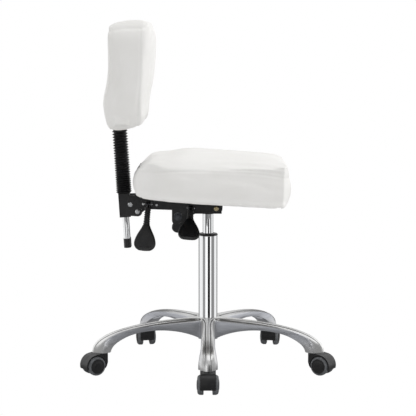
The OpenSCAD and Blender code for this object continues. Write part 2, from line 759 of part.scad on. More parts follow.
// Side view of the pad on the stem: +X forward, height from the pad's underside.
module pad_side() {
  h = back_high;
  polygon(concat(
    curve([[10, 0], [30, -1], [44, 10], [52, 8]], 4),
    curve([[60, 14], [72, 60], [96, 110], [100, h * 0.55]], 6),
    curve([[103, h * 0.6], [112, h * 0.85], [114, h * 0.96], [90, h - 2]], 6),
    curve([[78, h + 1], [30, h + 2], [-1, h + 1], [-4, h - 22]], 6),
    curve([[-8, h * 0.7], [-12, h * 0.42], [-32, h * 0.33], [-30, h * 0.24]], 6),
    curve([[-29, h * 0.16], [-28, 4], [-16, 1], [-6, 0]], 4)));
}

// Front view of the pad: Y across, height from the pad's underside.
module pad_front() {
  w = back_wid / 2;
  h = back_high + 4;
  r = 55;
  polygon(concat(
    arc([w - r, h - r], r, 0, 90, 8), arc([-w + r, h - r], r, 90, 180, 8),
    arc([-w + r + 22, r - 4], r, 180, 270, 8), arc([w - r - 22, r - 4], r, 270, 360, 8)));
}

module back_pad() {
  color("#f2f1ee") on_stem() translate([0, 0, stem_reach]) difference() {
    intersection() {
      upright(back_wid + 20) pad_side();
      translate([-100, 0, 0]) rotate([90, 0, 90]) linear_extrude(300) pad_front();
    }
    // pocket for the board, and the way in for the stem
    translate([stem_deep / 2, -back_wid / 2 + 30, 24])
      cube([back_board_t + 0.1, back_wid - 60, back_high - 70]);
    translate([0, 0, -5]) linear_extrude(stem_in_pad + 10) stadium(stem_deep + 0.4, stem_wide + 0.4);
    for (z = back_screw_z) translate([-stem_deep / 2 - 6, 0, z]) rotate([0, 90, 0]) cylinder(d = 12, h = 12);
  }
}

module back_board() {
  half = back_wid / 2 - 31;
  color("burlywood") on_stem() translate([stem_deep / 2 + 0.05, -half, stem_reach + 25]) difference() {
    cube([back_board_t - 0.05, 2 * half, back_high - 73]);
    for (z = back_screw_z) translate([-over, half, z - 25]) rotate([0, 90, 0]) cylinder(d = 5.2, h = 40);
  }
}

module back_screws() {
  color("silver") on_stem() for (z = back_screw_z)
    translate([-stem_deep / 2, 0, stem_reach + z]) rotate([0, 90, 0]) {
      cylinder(d = 5, h = stem_deep + back_board_t - 1);
      translate([0, 0, -3.5]) cylinder(d1 = 7, d2 = 10, h = 3.5);
    }
}

// ======== seat ========

seat_x = -226;       // rear edge of the cushion, from the tilt pivot
rim = 2;             // how far the cushion's edge hangs below the board
board_in = 26;       // inset of the board from the cushion's edge

// Side view of the cushion in the seat's frame, from its rear edge at x = 0, height from its underside.
module cushion_side() {
  l = seat_len;
  t = seat_thick;
  polygon(concat(
    curve([[26, 0], [6, 3], [-1, 14], [0, 32]], 5),
    curve([[2, 42], [10, 62], [18, 82], [42, t - 27]], 6),
    curve([[60, t - 24], [100, t - 22], [118, t - 4], [158, t - 1]], 6),
    curve([[230, t + 2], [300, t + 3], [l - 60, t + 1], [l - 34, t - 1]], 6),
    curve([[l - 16, t - 8], [l - 8, t - 28], [l + 3, t - 50], [l + 2, t - 80]], 6),
    curve([[l, 24], [l - 2, 4], [l - 10, 0], [l - 24, -2]], 4)));
}

// Plan view of the cushion: broad behind, a little narrower in front.
module cushion_plan() {
  l = seat_len;
  w = seat_wid / 2;
  polygon(concat(
    curve([[0, 0], [0, -w * 0.75], [l * 0.06, -w], [l * 0.3, -w]], 10),
    curve([[l * 0.45, -w], [l * 0.6, -w * 0.92], [l * 0.75, -w * 0.9], [l * 0.86, -w * 0.84]], 6),
    curve([[l * 0.95, -w * 0.78], [l, -w * 0.55], [l, -w * 0.3], [l, 0]], 6),
    curve([[l, 0], [l, w * 0.3], [l, w * 0.55], [l * 0.95, w * 0.78]], 6),
    curve([[l * 0.86, w * 0.84], [l * 0.75, w * 0.9], [l * 0.6, w * 0.92], [l * 0.45, w]], 6),
    curve([[l * 0.3, w], [l * 0.06, w], [0, w * 0.75], [0, 0.5]], 10)));
}

module board_plan(inset) {
  l = seat_len - 2 * inset;
  w = seat_wid - 2 * inset - 16;
  r = 60;
  translate([inset, 0]) polygon(concat(
    arc([l - r, w / 2 - r - 14], r, 0, 90, 8), arc([r, w / 2 - r], r, 90, 180, 8),
    arc([r, -w / 2 + r], r, 180, 270, 8), arc([l - r, -w / 2 + r + 14], r, 270, 360, 8)));
}

// Front view of the cushion: its top is crowned, and falls to the seam at each side.
module cushion_front() {
  w = seat_wid / 2;
  t = seat_thick;
  polygon(concat(
    curve([[w + over, -10], [w + over, t * 0.3], [w + over, t * 0.5], [w, t - 40]], 3),
    curve([[w - 8, t - 30], [w - 40, t - 8], [w * 0.5, t + 3], [0, t + 4]], 8),
    curve([[0, t + 4], [-w * 0.5, t + 3], [-w + 40, t - 8], [-w + 8, t - 30]], 8),
    curve([[-w, t - 40], [-w - over, t * 0.5], [-w - over, t * 0.3], [-w - over, -10]], 3)));
}

module seat_cushion() {
  color("#f2f1ee") on_seat() translate([seat_x, 0, seat_z - rim]) difference() {
    intersection() {
      upright(seat_wid + 40) cushion_side();
      translate([0, 0, -10]) linear_extrude(seat_thick + 30) cushion_plan();
      translate([-10, 0, 0]) rotate([90, 0, 90]) linear_extrude(seat_len + 20) cushion_front();
    }
    translate([0, 0, -10]) linear_extrude(rim + board_t + 10.1) board_plan(board_in - 1);
    // seat of the breather vent in the rear slope
    vent_place() {
      translate([0, 0, -6]) cylinder(d = 12.2, h = 30);
      translate([0, 0, 0.7]) cylinder(d = 22.6, h = 30);
    }
  }
}

module seat_board() {
  color("burlywood") on_seat() translate([seat_x, 0, seat_z + 0.05]) difference() {
    linear_extrude(board_t - 0.1) board_plan(board_in);
    for (p = seat_bolt_at) translate([p[0] - seat_x, p[1], -over]) cylinder(d = 6.6, h = 30);
  }
}

module seat_bolts() {
  color("silver") on_seat() for (p = seat_bolt_at) translate([p[0], p[1], plate_z]) {
    translate([0, 0, -0.1]) cylinder(d = 6, h = steel_t + board_t - 1);
    translate([0, 0, -5.1]) cylinder(d = 11, h = 5, $fn = 6);
  }
}

// The breather vent's place on the cushion's rear slope, +Z out of the cushion.
module vent_place() {
  translate([16, 0, 66]) rotate([0, -60, 0]) children();
}

module seat_vent() {
  color("#17171a") on_seat() translate([seat_x, 0, seat_z - rim]) vent_place() {
    translate([0, 0, -5.5]) cylinder(d = 12, h = 6.5);
    translate([0, 0, 0.8]) cylinder(d1 = 22, d2 = 19, h = 2.2);
  }
}

star_base();
caster_stems();
column_tube();
guide_bush();
thrust_bearing();
column_clip();
column_bumper();
piston_rod();
pressure_tube();
release_pin();
cone_socket();
mech_channel();
seat_frame();
tilt_pivot_bolt();
tilt_lock_rod();
clutch_bolts();
lever_pins();
gas_lever_cap();
recline_lever();
recline_paddle();
tilt_lever();
tilt_paddle();
gas_lever();
gas_paddle();
recline_spring();
back_bracket();
back_pivot_bolt();
stem_clamp_bolt();
back_stem();
stem_cap();
bellows();
back_pad();
back_board();
back_screws();
seat_cushion();
seat_board();
seat_bolts();
seat_vent();
for (k = [0:arms - 1]) {
  caster_housing(k);
  caster_axle(k);
  caster_wheel(k, 1);
  caster_wheel(k, -1);
}
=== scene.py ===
# Salon stool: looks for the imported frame. Lengths in the settings are millimetres.
import json
import math
import bmesh
import bpy
import numpy as np
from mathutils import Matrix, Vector


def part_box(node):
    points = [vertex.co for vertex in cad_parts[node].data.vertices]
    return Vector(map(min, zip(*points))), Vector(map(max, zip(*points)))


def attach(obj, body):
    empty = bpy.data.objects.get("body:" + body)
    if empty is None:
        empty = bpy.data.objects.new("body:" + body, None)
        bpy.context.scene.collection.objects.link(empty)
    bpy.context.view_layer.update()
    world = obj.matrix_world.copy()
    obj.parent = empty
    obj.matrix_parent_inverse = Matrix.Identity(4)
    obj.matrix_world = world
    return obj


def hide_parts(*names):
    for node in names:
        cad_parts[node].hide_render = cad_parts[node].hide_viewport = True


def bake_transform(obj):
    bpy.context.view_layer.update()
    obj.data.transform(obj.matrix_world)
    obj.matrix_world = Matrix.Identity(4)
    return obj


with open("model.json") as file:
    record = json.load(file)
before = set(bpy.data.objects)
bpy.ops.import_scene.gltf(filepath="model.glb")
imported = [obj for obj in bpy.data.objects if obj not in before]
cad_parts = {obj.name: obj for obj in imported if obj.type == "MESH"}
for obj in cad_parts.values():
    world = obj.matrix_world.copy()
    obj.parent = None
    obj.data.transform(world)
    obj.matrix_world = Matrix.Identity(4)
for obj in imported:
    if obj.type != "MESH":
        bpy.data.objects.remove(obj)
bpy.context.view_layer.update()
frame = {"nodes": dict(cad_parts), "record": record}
mm = 0.001
print("frame loaded:", len(frame["nodes"]), "nodes")


# t = clamp((x - low) / (high - low)), result t^2 (3 - 2 t).
def smooth(low, high, x):
    t = np.clip((np.asarray(x, float) - low) / (high - low), 0, 1)
    return t * t * (3 - 2 * t)


# Smooth curve through a few (x, value) pairs: Hermite pieces with averaged slopes.
def through(table, x):
    xs, ys = np.array(table, float).T
    slope = np.gradient(ys, xs)
    x = np.clip(x, xs[0], xs[-1])
    k = np.clip(np.searchsorted(xs, x) - 1, 0, len(xs) - 2)
    h = xs[k + 1] - xs[k]
    t = (x - xs[k]) / h
    return ((2 * t**3 - 3 * t**2 + 1) * ys[k] + (t**3 - 2 * t**2 + t) * h * slope[k]
            + (3 * t**2 - 2 * t**3) * ys[k + 1] + (t**3 - t**2) * h * slope[k + 1])


# Quads that join each point (i, j) of a grid to its neighbours; columns always close.
def gridFaces(rows, cols, wrapRows=False):
    i, j = np.meshgrid(np.arange(rows if wrapRows else rows - 1), np.arange(cols), indexing="ij")
    nextRow, nextCol = (i + 1) % rows, (j + 1) % cols
    return np.stack([i * cols + j, i * cols + nextCol, nextRow * cols + nextCol, nextRow * cols + j],
                    -1).reshape(-1, 4)


# A mesh object from points in metres; doubles merged, poles closed, normals outward. marks is one number a
# point, kept as the attribute "mark" for a material to read.
def addObject(name, points, faces, marks=None):
    mesh = bpy.data.meshes.new(name)
    mesh.from_pydata(np.asarray(points).reshape(-1, 3).tolist(), [], np.asarray(faces).tolist())
    if marks is not None:
        mesh.attributes.new("mark", "FLOAT", "POINT").data.foreach_set("value", np.ravel(marks).astype("f"))
    obj = bpy.data.objects.new(name, mesh)
    bpy.context.scene.collection.objects.link(obj)
    cleanMesh(mesh)
    return obj


# Points nearer than `near` metres become one, flat slivers go, and faces are turned outward.
def cleanMesh(mesh, near=2e-6):
    work = bmesh.new()
    work.from_mesh(mesh)
    bmesh.ops.remove_doubles(work, verts=work.verts, dist=near)
    bmesh.ops.dissolve_degenerate(work, edges=work.edges, dist=near)
    bmesh.ops.recalc_face_normals(work, faces=work.faces)
    work.to_mesh(mesh)
    work.free()


# Smooth shading, with an edge kept sharp where its faces meet at more than the angle.
def shade(obj, angle=32):
    obj.data.shade_smooth()
    obj.data.set_sharp_from_angle(angle=math.radians(angle))
    return obj


# Rings of points carried along a path; each end closes to its ring's middle point.
def loft(name, rings, closed=True, marks=None):
    rings = np.asarray(rings, float)
    if marks is not None:
        marks = np.concatenate([marks[:1], marks, marks[-1:]]) if closed else marks
    if closed:
        first = np.broadcast_to(rings[0].mean(0), rings[0].shape)
        last = np.broadcast_to(rings[-1].mean(0), rings[-1].shape)
        rings = np.concatenate([first[None], rings, last[None]])
    return addObject(name, rings, gridFaces(rings.shape[0], rings.shape[1], wrapRows=not closed), marks)


# A profile whose corners are quadratic curves: (1-t)^2 a + 2 t (1-t) corner + t^2 b.
def rounded(corners, radius, steps=4):
    pts = np.array([c[:2] for c in corners], float)
    out = [pts[0]]
    t = np.linspace(0, 1, steps + 1)[:, None]
    for k in range(1, len(pts) - 1):
        before, after = pts[k - 1] - pts[k], pts[k + 1] - pts[k]
        lb, la = np.linalg.norm(before), np.linalg.norm(after)
        r = min(corners[k][2] if len(corners[k]) > 2 else radius, 0.45 * lb, 0.45 * la)
        a, b = pts[k] + before / lb * r, pts[k] + after / la * r
        out.extend((1 - t)**2 * a + 2 * t * (1 - t) * pts[k] + t**2 * b)
    out.append(pts[-1])
    return np.array(out)


# Profile (radius, height) turned about an axis: place + h axis + r (cos a e1 + sin a e2).
def revolve(name, profile, place=(0, 0, 0), axis=(0, 0, 1), around=96):
    w = np.array(axis, float) / np.linalg.norm(axis)
    e1 = np.cross(w, [0.0, 1.0, 0.0] if abs(w[1]) < 0.9 else [1.0, 0.0, 0.0])
    e1 /= np.linalg.norm(e1)
    e2 = np.cross(w, e1)
    a = np.linspace(0, 2 * math.pi, around, endpoint=False)
    ring = np.cos(a)[:, None] * e1 + np.sin(a)[:, None] * e2
    profile = np.asarray(profile, float)
    pts = np.array(place, float) + profile[:, 1, None, None] * w + profile[:, 0, None, None] * ring
    return loft(name, pts * mm)


# A merged copy of a CAD node with its edges rounded by a bevel of that width.
def softened(node, width=0.6, segments=2, angle=30):
    source = frame["nodes"][node]
    mesh = source.data.copy()
    mesh.name = node + "_soft"
    work = bmesh.new()
    work.from_mesh(mesh)
    bmesh.ops.remove_doubles(work, verts=work.verts, dist=2e-6)
    bmesh.ops.dissolve_degenerate(work, edges=work.edges, dist=1e-6)
    bmesh.ops.dissolve_limit(work, angle_limit=math.radians(0.6), verts=work.verts, edges=work.edges)
    work.to_mesh(mesh)
    work.free()
    obj = bpy.data.objects.new(node + "_soft", mesh)
    bpy.context.scene.collection.objects.link(obj)
    bevel = obj.modifiers.new("edges", "BEVEL")
    bevel.width, bevel.segments, bevel.limit_method = width * mm, segments, "ANGLE"
    bevel.angle_limit = math.radians(angle)
    bevel.use_clamp_overlap = True
    bevel.harden_normals = True
    shade(obj, angle)
    return obj


# The piece wears a material, rides on a body and stands for CAD nodes; the slot argument is not used.
def put(obj, body, material, *nodes, slot=None):
    obj.data.materials.clear()
    obj.data.materials.append(material)
    if body:
        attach(obj, body)
    if nodes:
        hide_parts(*nodes)
    return obj


# sRGB hex to linear: c / 12.92 below 0.04045, else ((c + 0.055) / 1.055)^2.4.
def linear(hexColour):
    c = np.array([int(hexColour[i:i + 2], 16) for i in (0, 2, 4)]) / 255
    c = np.where(c <= 0.04045, c / 12.92, ((c + 0.055) / 1.055)**2.4)
    return (*c, 1.0)


# Adds a node, sets its properties and sockets, and links sockets from (node, output) pairs.
def addNode(tree, kind, settings=None, values=None, links=None):
    node = tree.nodes.new(kind)
    for key, value in (settings or {}).items():
        setattr(node, key, value)
    for key, value in (values or {}).items():
        node.inputs[key].default_value = value
    for key, (other, output) in (links or {}).items():
        tree.links.new(other.outputs[output], node.inputs[key])
    return node


# A principled material: base colour from sRGB hex, roughness, metallic, and any other socket by name.
def newMaterial(name, colour, roughness, metallic=0.0, **sockets):
    mat = bpy.data.materials.new(name)
    mat.use_nodes = True
    shader = mat.node_tree.nodes["Principled BSDF"]
    shader.inputs["Base Color"].default_value = linear(colour)
    shader.inputs["Roughness"].default_value = roughness
    shader.inputs["Metallic"].default_value = metallic
    for key, value in sockets.items():
        shader.inputs[key.replace("_", " ")].default_value = value
    return mat, mat.node_tree, shader


# Noise of a real size in mm spreads a socket between two values, or two colours.
def mottle(tree, shader, coords, size, low, high, socket, colours=None, detail=3.0):
    noise = addNode(tree, "ShaderNodeTexNoise", values={"Scale": 1000 / size, "Detail": detail},
                    links={"Vector": coords})
    if colours:
        ramp = addNode(tree, "ShaderNodeValToRGB", links={"Fac": (noise, "Fac")})
        ramp.color_ramp.elements[0].position, ramp.color_ramp.elements[1].position = low, high
        ramp.color_ramp.elements[0].color = linear(colours[0])
        ramp.color_ramp.elements[1].color = linear(colours[1])
        tree.links.new(ramp.outputs["Color"], shader.inputs[socket])
        return ramp
    spread = addNode(tree, "ShaderNodeMapRange", values={"From Min": 0.3, "From Max": 0.7,
                                                         "To Min": low, "To Max": high},
                     links={"Value": (noise, "Fac")})
    tree.links.new(spread.outputs["Result"], shader.inputs[socket])
    return spread


# Bump layers in a row: each (texture output, height in mm, strength).
def relief(tree, shader, layers):
    last = None
    for source, height, strength in layers:
        links = {"Height": source}
        if last:
            links["Normal"] = (last, "Normal")
        last = addNode(tree, "ShaderNodeBump", values={"Distance": height * mm, "Strength": strength},
                       links=links)
    tree.links.new(last.outputs["Normal"], shader.inputs["Normal"])


# white polyurethane-coated fabric: soft pebble grain about 1.1 mm across, low satin shine
def coatedUpholstery():
    mat, tree, shader = newMaterial("coated_upholstery_white", "F1F0ED", 0.46)
    at = (addNode(tree, "ShaderNodeTexCoord"), "Object")
    mottle(tree, shader, at, 90, 0.35, 0.7, "Base Color", ("EFEEEB", "F3F2F0"))
    mottle(tree, shader, at, 14, 0.42, 0.52, "Roughness")
    pebble = addNode(tree, "ShaderNodeTexVoronoi", {"feature": "SMOOTH_F1"},
                     {"Scale": 1000 / 1.1, "Smoothness": 0.6}, {"Vector": at})
    slack = addNode(tree, "ShaderNodeTexNoise", values={"Scale": 1000 / 45, "Detail": 2.0},
                    links={"Vector": at})
    relief(tree, shader, [((slack, "Fac"), 0.9, 0.35), ((pebble, "Distance"), 0.12, 0.55)])
    return mat


# die-cast aluminium: tops polished bright, drafted sides left belt-finished in satin grey (mark -1),
# and a painted dark reflection line in the grooves beside each rib (mark 1)
def castAluminium():
    mat, tree, shader = newMaterial("aluminium_cast_polished", "DCDCDA", 0.25, 1.0)
    coords = addNode(tree, "ShaderNodeTexCoord")
    mark = addNode(tree, "ShaderNodeAttribute", {"attribute_name": "mark"})
    satin = addNode(tree, "ShaderNodeMapRange", values={"From Min": 0.0, "From Max": -1.0, "To Min": 0.0,
                                                        "To Max": 1.0}, links={"Value": (mark, "Fac")})
    bright = mottle(tree, shader, (coords, "Object"), 60, 0.4, 0.65, "Base Color", ("DCDCDC", "E6E6E5"))
    level = addNode(tree, "ShaderNodeMapping", values={"Scale": (0.06, 0.06, 1.0)},
                    links={"Vector": (coords, "Object")})
    grey = mottle(tree, shader, (level, "Vector"), 2.2, 0.3, 0.7, "Base Color", ("ACAEB4", "BEC0C5"), 5.0)
    # painted dark reflection: near-black colour where mark is 1, in the grooves beside each rib
    paintedReflection = addNode(tree, "ShaderNodeMix", {"data_type": "RGBA"}, {7: linear("17181B")},
                      {0: (mark, "Fac"), 6: (bright, "Color")})
    both = addNode(tree, "ShaderNodeMix", {"data_type": "RGBA"},
                   links={0: (satin, "Result"), 6: (paintedReflection, 2), 7: (grey, "Color")})
    tree.links.new(both.outputs[2], shader.inputs["Base Color"])
    shine = mottle(tree, shader, (coords, "Object"), 22, 0.29, 0.35, "Roughness")
    rough = addNode(tree, "ShaderNodeMix", {"data_type": "FLOAT"}, {3: 0.44},
                    {0: (satin, "Result"), 2: (shine, "Result")})
    tree.links.new(rough.outputs[0], shader.inputs["Roughness"])
    scratch = addNode(tree, "ShaderNodeTexNoise", values={"Scale": 1000 / 0.9, "Detail": 3.0},
                      links={"Vector": (level, "Vector")})
    cut = addNode(tree, "ShaderNodeMath", {"operation": "MULTIPLY"}, {},
                  {0: (scratch, "Fac"), 1: (satin, "Result")})
    relief(tree, shader, [((cut, 0), 0.03, 0.3)])
    return mat


# bright chrome over polished tube: mirror-like, with hairline polishing marks along it
def chromePlate():
    mat, tree, shader = newMaterial("chrome_plate", "E9EAEB", 0.06, 1.0)
    coords = addNode(tree, "ShaderNodeTexCoord")
    stretch = addNode(tree, "ShaderNodeMapping", values={"Scale": (1.0, 1.0, 0.03)},
                      links={"Vector": (coords, "Object")})
    mottle(tree, shader, (stretch, "Vector"), 1.5, 0.03, 0.06, "Roughness", detail=4.0)
    hair = addNode(tree, "ShaderNodeTexNoise", values={"Scale": 1000 / 1.2, "Detail": 3.0},
                   links={"Vector": (stretch, "Vector")})
    relief(tree, shader, [((hair, "Fac"), 0.002, 0.02)])
    return mat


# satin black powder coat on pressed steel: orange peel about 0.8 mm across
def powderCoat():
    mat, tree, shader = newMaterial("powder_coat_black", "121214", 0.42)
    at = (addNode(tree, "ShaderNodeTexCoord"), "Object")
    mottle(tree, shader, at, 25, 0.35, 0.7, "Base Color", ("0F0F11", "18181A"))
    mottle(tree, shader, at, 8, 0.36, 0.5, "Roughness")
    peel = addNode(tree, "ShaderNodeTexNoise", values={"Scale": 1000 / 0.8, "Detail": 1.0},
                   links={"Vector": at})
    relief(tree, shader, [((peel, "Fac"), 0.06, 0.5)])
    return mat


# black glass-filled nylon from a spark-eroded mould: fine matt texture, worn shinier in places
def mouldedNylon():
    mat, tree, shader = newMaterial("nylon_moulded_black", "131315", 0.4)
    at = (addNode(tree, "ShaderNodeTexCoord"), "Object")
    mottle(tree, shader, at, 18, 0.35, 0.7, "Base Color", ("101012", "1A1A1C"))
    mottle(tree, shader, at, 12, 0.32, 0.48, "Roughness")
    spark = addNode(tree, "ShaderNodeTexNoise", values={"Scale": 1000 / 0.45, "Detail": 2.0},
                    links={"Vector": at})
    relief(tree, shader, [((spark, "Fac"), 0.04, 0.5)])
    return mat


# moulded black rubber: dull, a trace of grey bloom on the folds
def bellowsRubber():
    mat, tree, shader = newMaterial("rubber_moulded_black", "161618", 0.55)
    at = (addNode(tree, "ShaderNodeTexCoord"), "Object")
    mottle(tree, shader, at, 9, 0.4, 0.75, "Base Color", ("0E0E10", "1A1A1C"))
    mottle(tree, shader, at, 5, 0.48, 0.64, "Roughness")
    skin = addNode(tree, "ShaderNodeTexNoise", values={"Scale": 1000 / 0.6, "Detail": 2.0},
                   links={"Vector": at})
    relief(tree, shader, [((skin, "Fac"), 0.05, 0.5)])
    return mat


# grey polyurethane tread: matt, scuffed slightly lighter
def greyTread():
    mat, tree, shader = newMaterial("polyurethane_tread_grey", "6E6F71", 0.55)
    at = (addNode(tree, "ShaderNodeTexCoord"), "Object")
    mottle(tree, shader, at, 7, 0.35, 0.7, "Base Color", ("4E5053", "66686B"))
    mottle(tree, shader, at, 3, 0.46, 0.66, "Roughness")
    scuff = addNode(tree, "ShaderNodeTexNoise", values={"Scale": 1000 / 0.7, "Detail": 3.0},
                    links={"Vector": at})
    relief(tree, shader, [((scuff, "Fac"), 0.05, 0.5)])
    return mat


# electroplated steel: soft metallic shine, slightly cloudy
def platedSteel(name, colours, roughness):
    mat, tree, shader = newMaterial(name, colours[0], roughness, 1.0)
    at = (addNode(tree, "ShaderNodeTexCoord"), "Object")
    mottle(tree, shader, at, 6, 0.35, 0.7, "Base Color", colours)
    mottle(tree, shader, at, 3, roughness - 0.06, roughness + 0.08, "Roughness")
    drawn = addNode(tree, "ShaderNodeTexNoise", values={"Scale": 1000 / 0.5, "Detail": 2.0},
                    links={"Vector": at})
    relief(tree, shader, [((drawn, "Fac"), 0.02, 0.4)])
    return mat


# birch plywood under a thin sealer: long grain about 3 mm wide along the board
def birchPly():
    mat, tree, shader = newMaterial("birch_plywood", "C8A876", 0.55)
    coords = addNode(tree, "ShaderNodeTexCoord")
    along = addNode(tree, "ShaderNodeMapping", values={"Scale": (0.08, 1.0, 1.0)},
                    links={"Vector": (coords, "Object")})
    mottle(tree, shader, (along, "Vector"), 5, 0.3, 0.75, "Base Color", ("B8935F", "D8BD90"), 6.0)
    fibre = addNode(tree, "ShaderNodeTexNoise", values={"Scale": 1000 / 0.7, "Detail": 4.0},
                    links={"Vector": (along, "Vector")})
    relief(tree, shader, [((fibre, "Fac"), 0.08, 0.5)])
    return mat


# black spun-bonded dust cover stapled under the seat board: fibrous and dull
def dustCover():
    mat, tree, shader = newMaterial("polypropylene_dust_cover", "141416", 0.85)
    at = (addNode(tree, "ShaderNodeTexCoord"), "Object")
    mottle(tree, shader, at, 4, 0.3, 0.75, "Base Color", ("0F0F11", "1D1D20"), 6.0)
    mottle(tree, shader, at, 2, 0.78, 0.95, "Roughness")
    bond = addNode(tree, "ShaderNodeTexVoronoi", values={"Scale": 1000 / 1.6}, links={"Vector": at})
    relief(tree, shader, [((bond, "Distance"), 0.1, 0.5)])
    return mat


leather, aluminium, chrome = coatedUpholstery(), castAluminium(), chromePlate()
underCover = dustCover()
coat, nylon, rubber, tread = powderCoat(), mouldedNylon(), bellowsRubber(), greyTread()
zinc = platedSteel("steel_bright_zinc", ("B9BBBD", "CFD1D3"), 0.3)
darkZinc = platedSteel("steel_dark_zinc", ("3E3F42", "54565A"), 0.34)
yellowZinc = platedSteel("steel_yellow_passivated", ("C9B88C", "DCCDA6"), 0.32)
ply = birchPly()

slotMaterials = {
    "cast_aluminium": aluminium, "zinc_plated_steel": zinc, "chrome_steel": chrome,
    "black_plastic": nylon, "black_rubber": rubber, "black_painted_steel": coat,
    "yellow_zinc_steel": yellowZinc, "grey_lock_steel": darkZinc, "white_upholstery": leather,
    "plywood": ply, "caster_hood_nylon": nylon, "axle_steel": zinc, "caster_tyre": tread,
}
for part in frame["record"]["subparts"]:
    mesh = frame["nodes"][part["node"]].data
    mesh.materials.clear()
    mesh.materials.append(slotMaterials[part["material_slot"]])
print("materials made")


# angles in degrees; points are (x, z) in the row frame, cushion corner and pad foot in the leaning frames
posture = {"tilt": 4.2, "tiltPivot": (22, 430), "cushionCorner": (-226, 26), "lean": 3.6,
           "stemFoot": (-213.5, 322), "padFoot": 314}
tilt, lean = math.radians(posture["tilt"]), math.radians(posture["lean"])


# Seat frame to the row frame, turned nose-down: (px + x cos a + z sin a, y, pz - x sin a + z cos a).
def onSeat(x, y, z):
    c, s = math.cos(tilt), math.sin(tilt)
    px, pz = posture["tiltPivot"]
    return np.stack(np.broadcast_arrays(px + x * c + z * s, y, pz - x * s + z * c), -1)


# Stem frame to the row frame, leaned back: (px + x cos a - z sin a, y, pz + x sin a + z cos a).
def onStem(x, y, z):
    c, s = math.cos(lean), math.sin(lean)
    px, pz = posture["stemFoot"]
    return np.stack(np.broadcast_arrays(px + x * c - z * s, y, pz + x * s + z * c), -1)


# onSeat turned back, measured from the cushion's rear edge and underside.
def seatLocal(points):
    c, s = math.cos(tilt), math.sin(tilt)
    px, pz = posture["tiltPivot"]
    dx, dz = points[:, 0] - px, points[:, 2] - pz
    u, h = posture["cushionCorner"]
    return np.stack([dx * c - dz * s - u, points[:, 1], dx * s + dz * c - h], -1)


# onStem turned back, with the height measured from the back pad's underside.
def padLocal(points):
    c, s = math.cos(lean), math.sin(lean)
    px, pz = posture["stemFoot"]
    dx, dz = points[:, 0] - px, points[:, 2] - pz
    return np.stack([dx * c + dz * s, points[:, 1], -dx * s + dz * c - posture["padFoot"]], -1)


# Vertex places and normals in millimetres, as arrays.
def readPoints(mesh):
    co, no = np.empty(len(mesh.vertices) * 3), np.empty(len(mesh.vertices) * 3)
    mesh.vertices.foreach_get("co", co)
    mesh.vertices.foreach_get("normal", no)
    return co.reshape(-1, 3) / mm, no.reshape(-1, 3)


# The mesh's vertices are placed at the given points, in millimetres.
def writePoints(mesh, points):
    mesh.vertices.foreach_set("co", (points * mm).ravel())
    mesh.update()


# The object's mesh with its modifiers applied, as a new mesh on the same object.
def baked(obj, name):
    view = bpy.context.evaluated_depsgraph_get()
    mesh = bpy.data.meshes.new_from_object(obj.evaluated_get(view))
    mesh.name = name
    obj.modifiers.clear()
    obj.data = mesh
    return obj


# Each vertex's value becomes half its own and half its neighbours' mean, a number of rounds.
def averaged(mesh, values, rounds):
    ends = np.empty(len(mesh.edges) * 2, int)
    mesh.edges.foreach_get("vertices", ends)
    a, b = ends.reshape(-1, 2).T
    count = np.bincount(ends, minlength=len(values))[:, None]
    for _ in range(rounds):
        total = np.stack([np.bincount(a, v[b], len(v)) + np.bincount(b, v[a], len(v)) for v in values.T], -1)
        values = 0.5 * values + 0.5 * total / np.maximum(count, 1)
    return values


# A CAD solid made into a stuffed cover: remeshed, drawn in by its inset, blown up by the cloth solver with
# the vertices in `fixed` held, and every move averaged and held to the cap.
def stuffedCopy(node, name, values, fixed):
    source = frame["nodes"][node].data.copy()
    obj = bpy.data.objects.new(name, source)
    bpy.context.scene.collection.objects.link(obj)
    cleanMesh(source)
    remesh = obj.modifiers.new("remesh", "REMESH")
    remesh.mode, remesh.voxel_size = "VOXEL", values["voxel"] * mm
    even = obj.modifiers.new("even", "SMOOTH")
    even.factor, even.iterations = 0.5, values["evening"]
    baked(obj, name)
    points, normals = readPoints(obj.data)
    hold = fixed(points)
    points = points - normals * (values["inset"] * (1 - hold))[:, None]
    writePoints(obj.data, points)
    group = obj.vertex_groups.new(name="held")
    for weight in np.unique(hold[hold > 0.05]):
        group.add(np.nonzero(hold == weight)[0].tolist(), float(weight), "REPLACE")
    cloth = obj.modifiers.new("stuffing", "CLOTH")
    cloth.settings.quality = 5
    cloth.settings.mass = 0.3
    cloth.settings.tension_stiffness = cloth.settings.compression_stiffness = values["stiffness"]
    cloth.settings.shear_stiffness = values["stiffness"]
    cloth.settings.bending_stiffness = values["bending"]
    cloth.settings.use_pressure = True
    cloth.settings.uniform_pressure_force = values["pressure"]
    cloth.settings.effector_weights.gravity = 0
    cloth.settings.vertex_group_mass = "held"
    cloth.collision_settings.use_collision = False
    cloth.point_cache.frame_start, cloth.point_cache.frame_end = 1, values["frames"]
    for step in range(1, values["frames"] + 1):
        bpy.context.scene.frame_set(step)
    view = bpy.context.evaluated_depsgraph_get()
    blown = obj.evaluated_get(view)
    moved = np.empty(len(points) * 3)
    blown.data.vertices.foreach_get("co", moved)
    move = moved.reshape(-1, 3) / mm - points
    move = averaged(obj.data, move, values["settling"])
    length = np.linalg.norm(move, axis=1, keepdims=True)
    move *= np.minimum(1, values["cap"] / np.maximum(length, 1e-6))
    obj.modifiers.clear()
    obj.vertex_groups.clear()
    writePoints(obj.data, points + move)
    bpy.context.scene.frame_set(1)
    finer = obj.modifiers.new("finer", "SUBSURF")
    finer.levels = finer.render_levels = 1
    baked(obj, name)
    return obj


# exp(-(distance / width)^2): 1 in the middle of a crease, fading to 0 beside it.
def groove(distance, width):
    return np.exp(-(distance / width)**2)


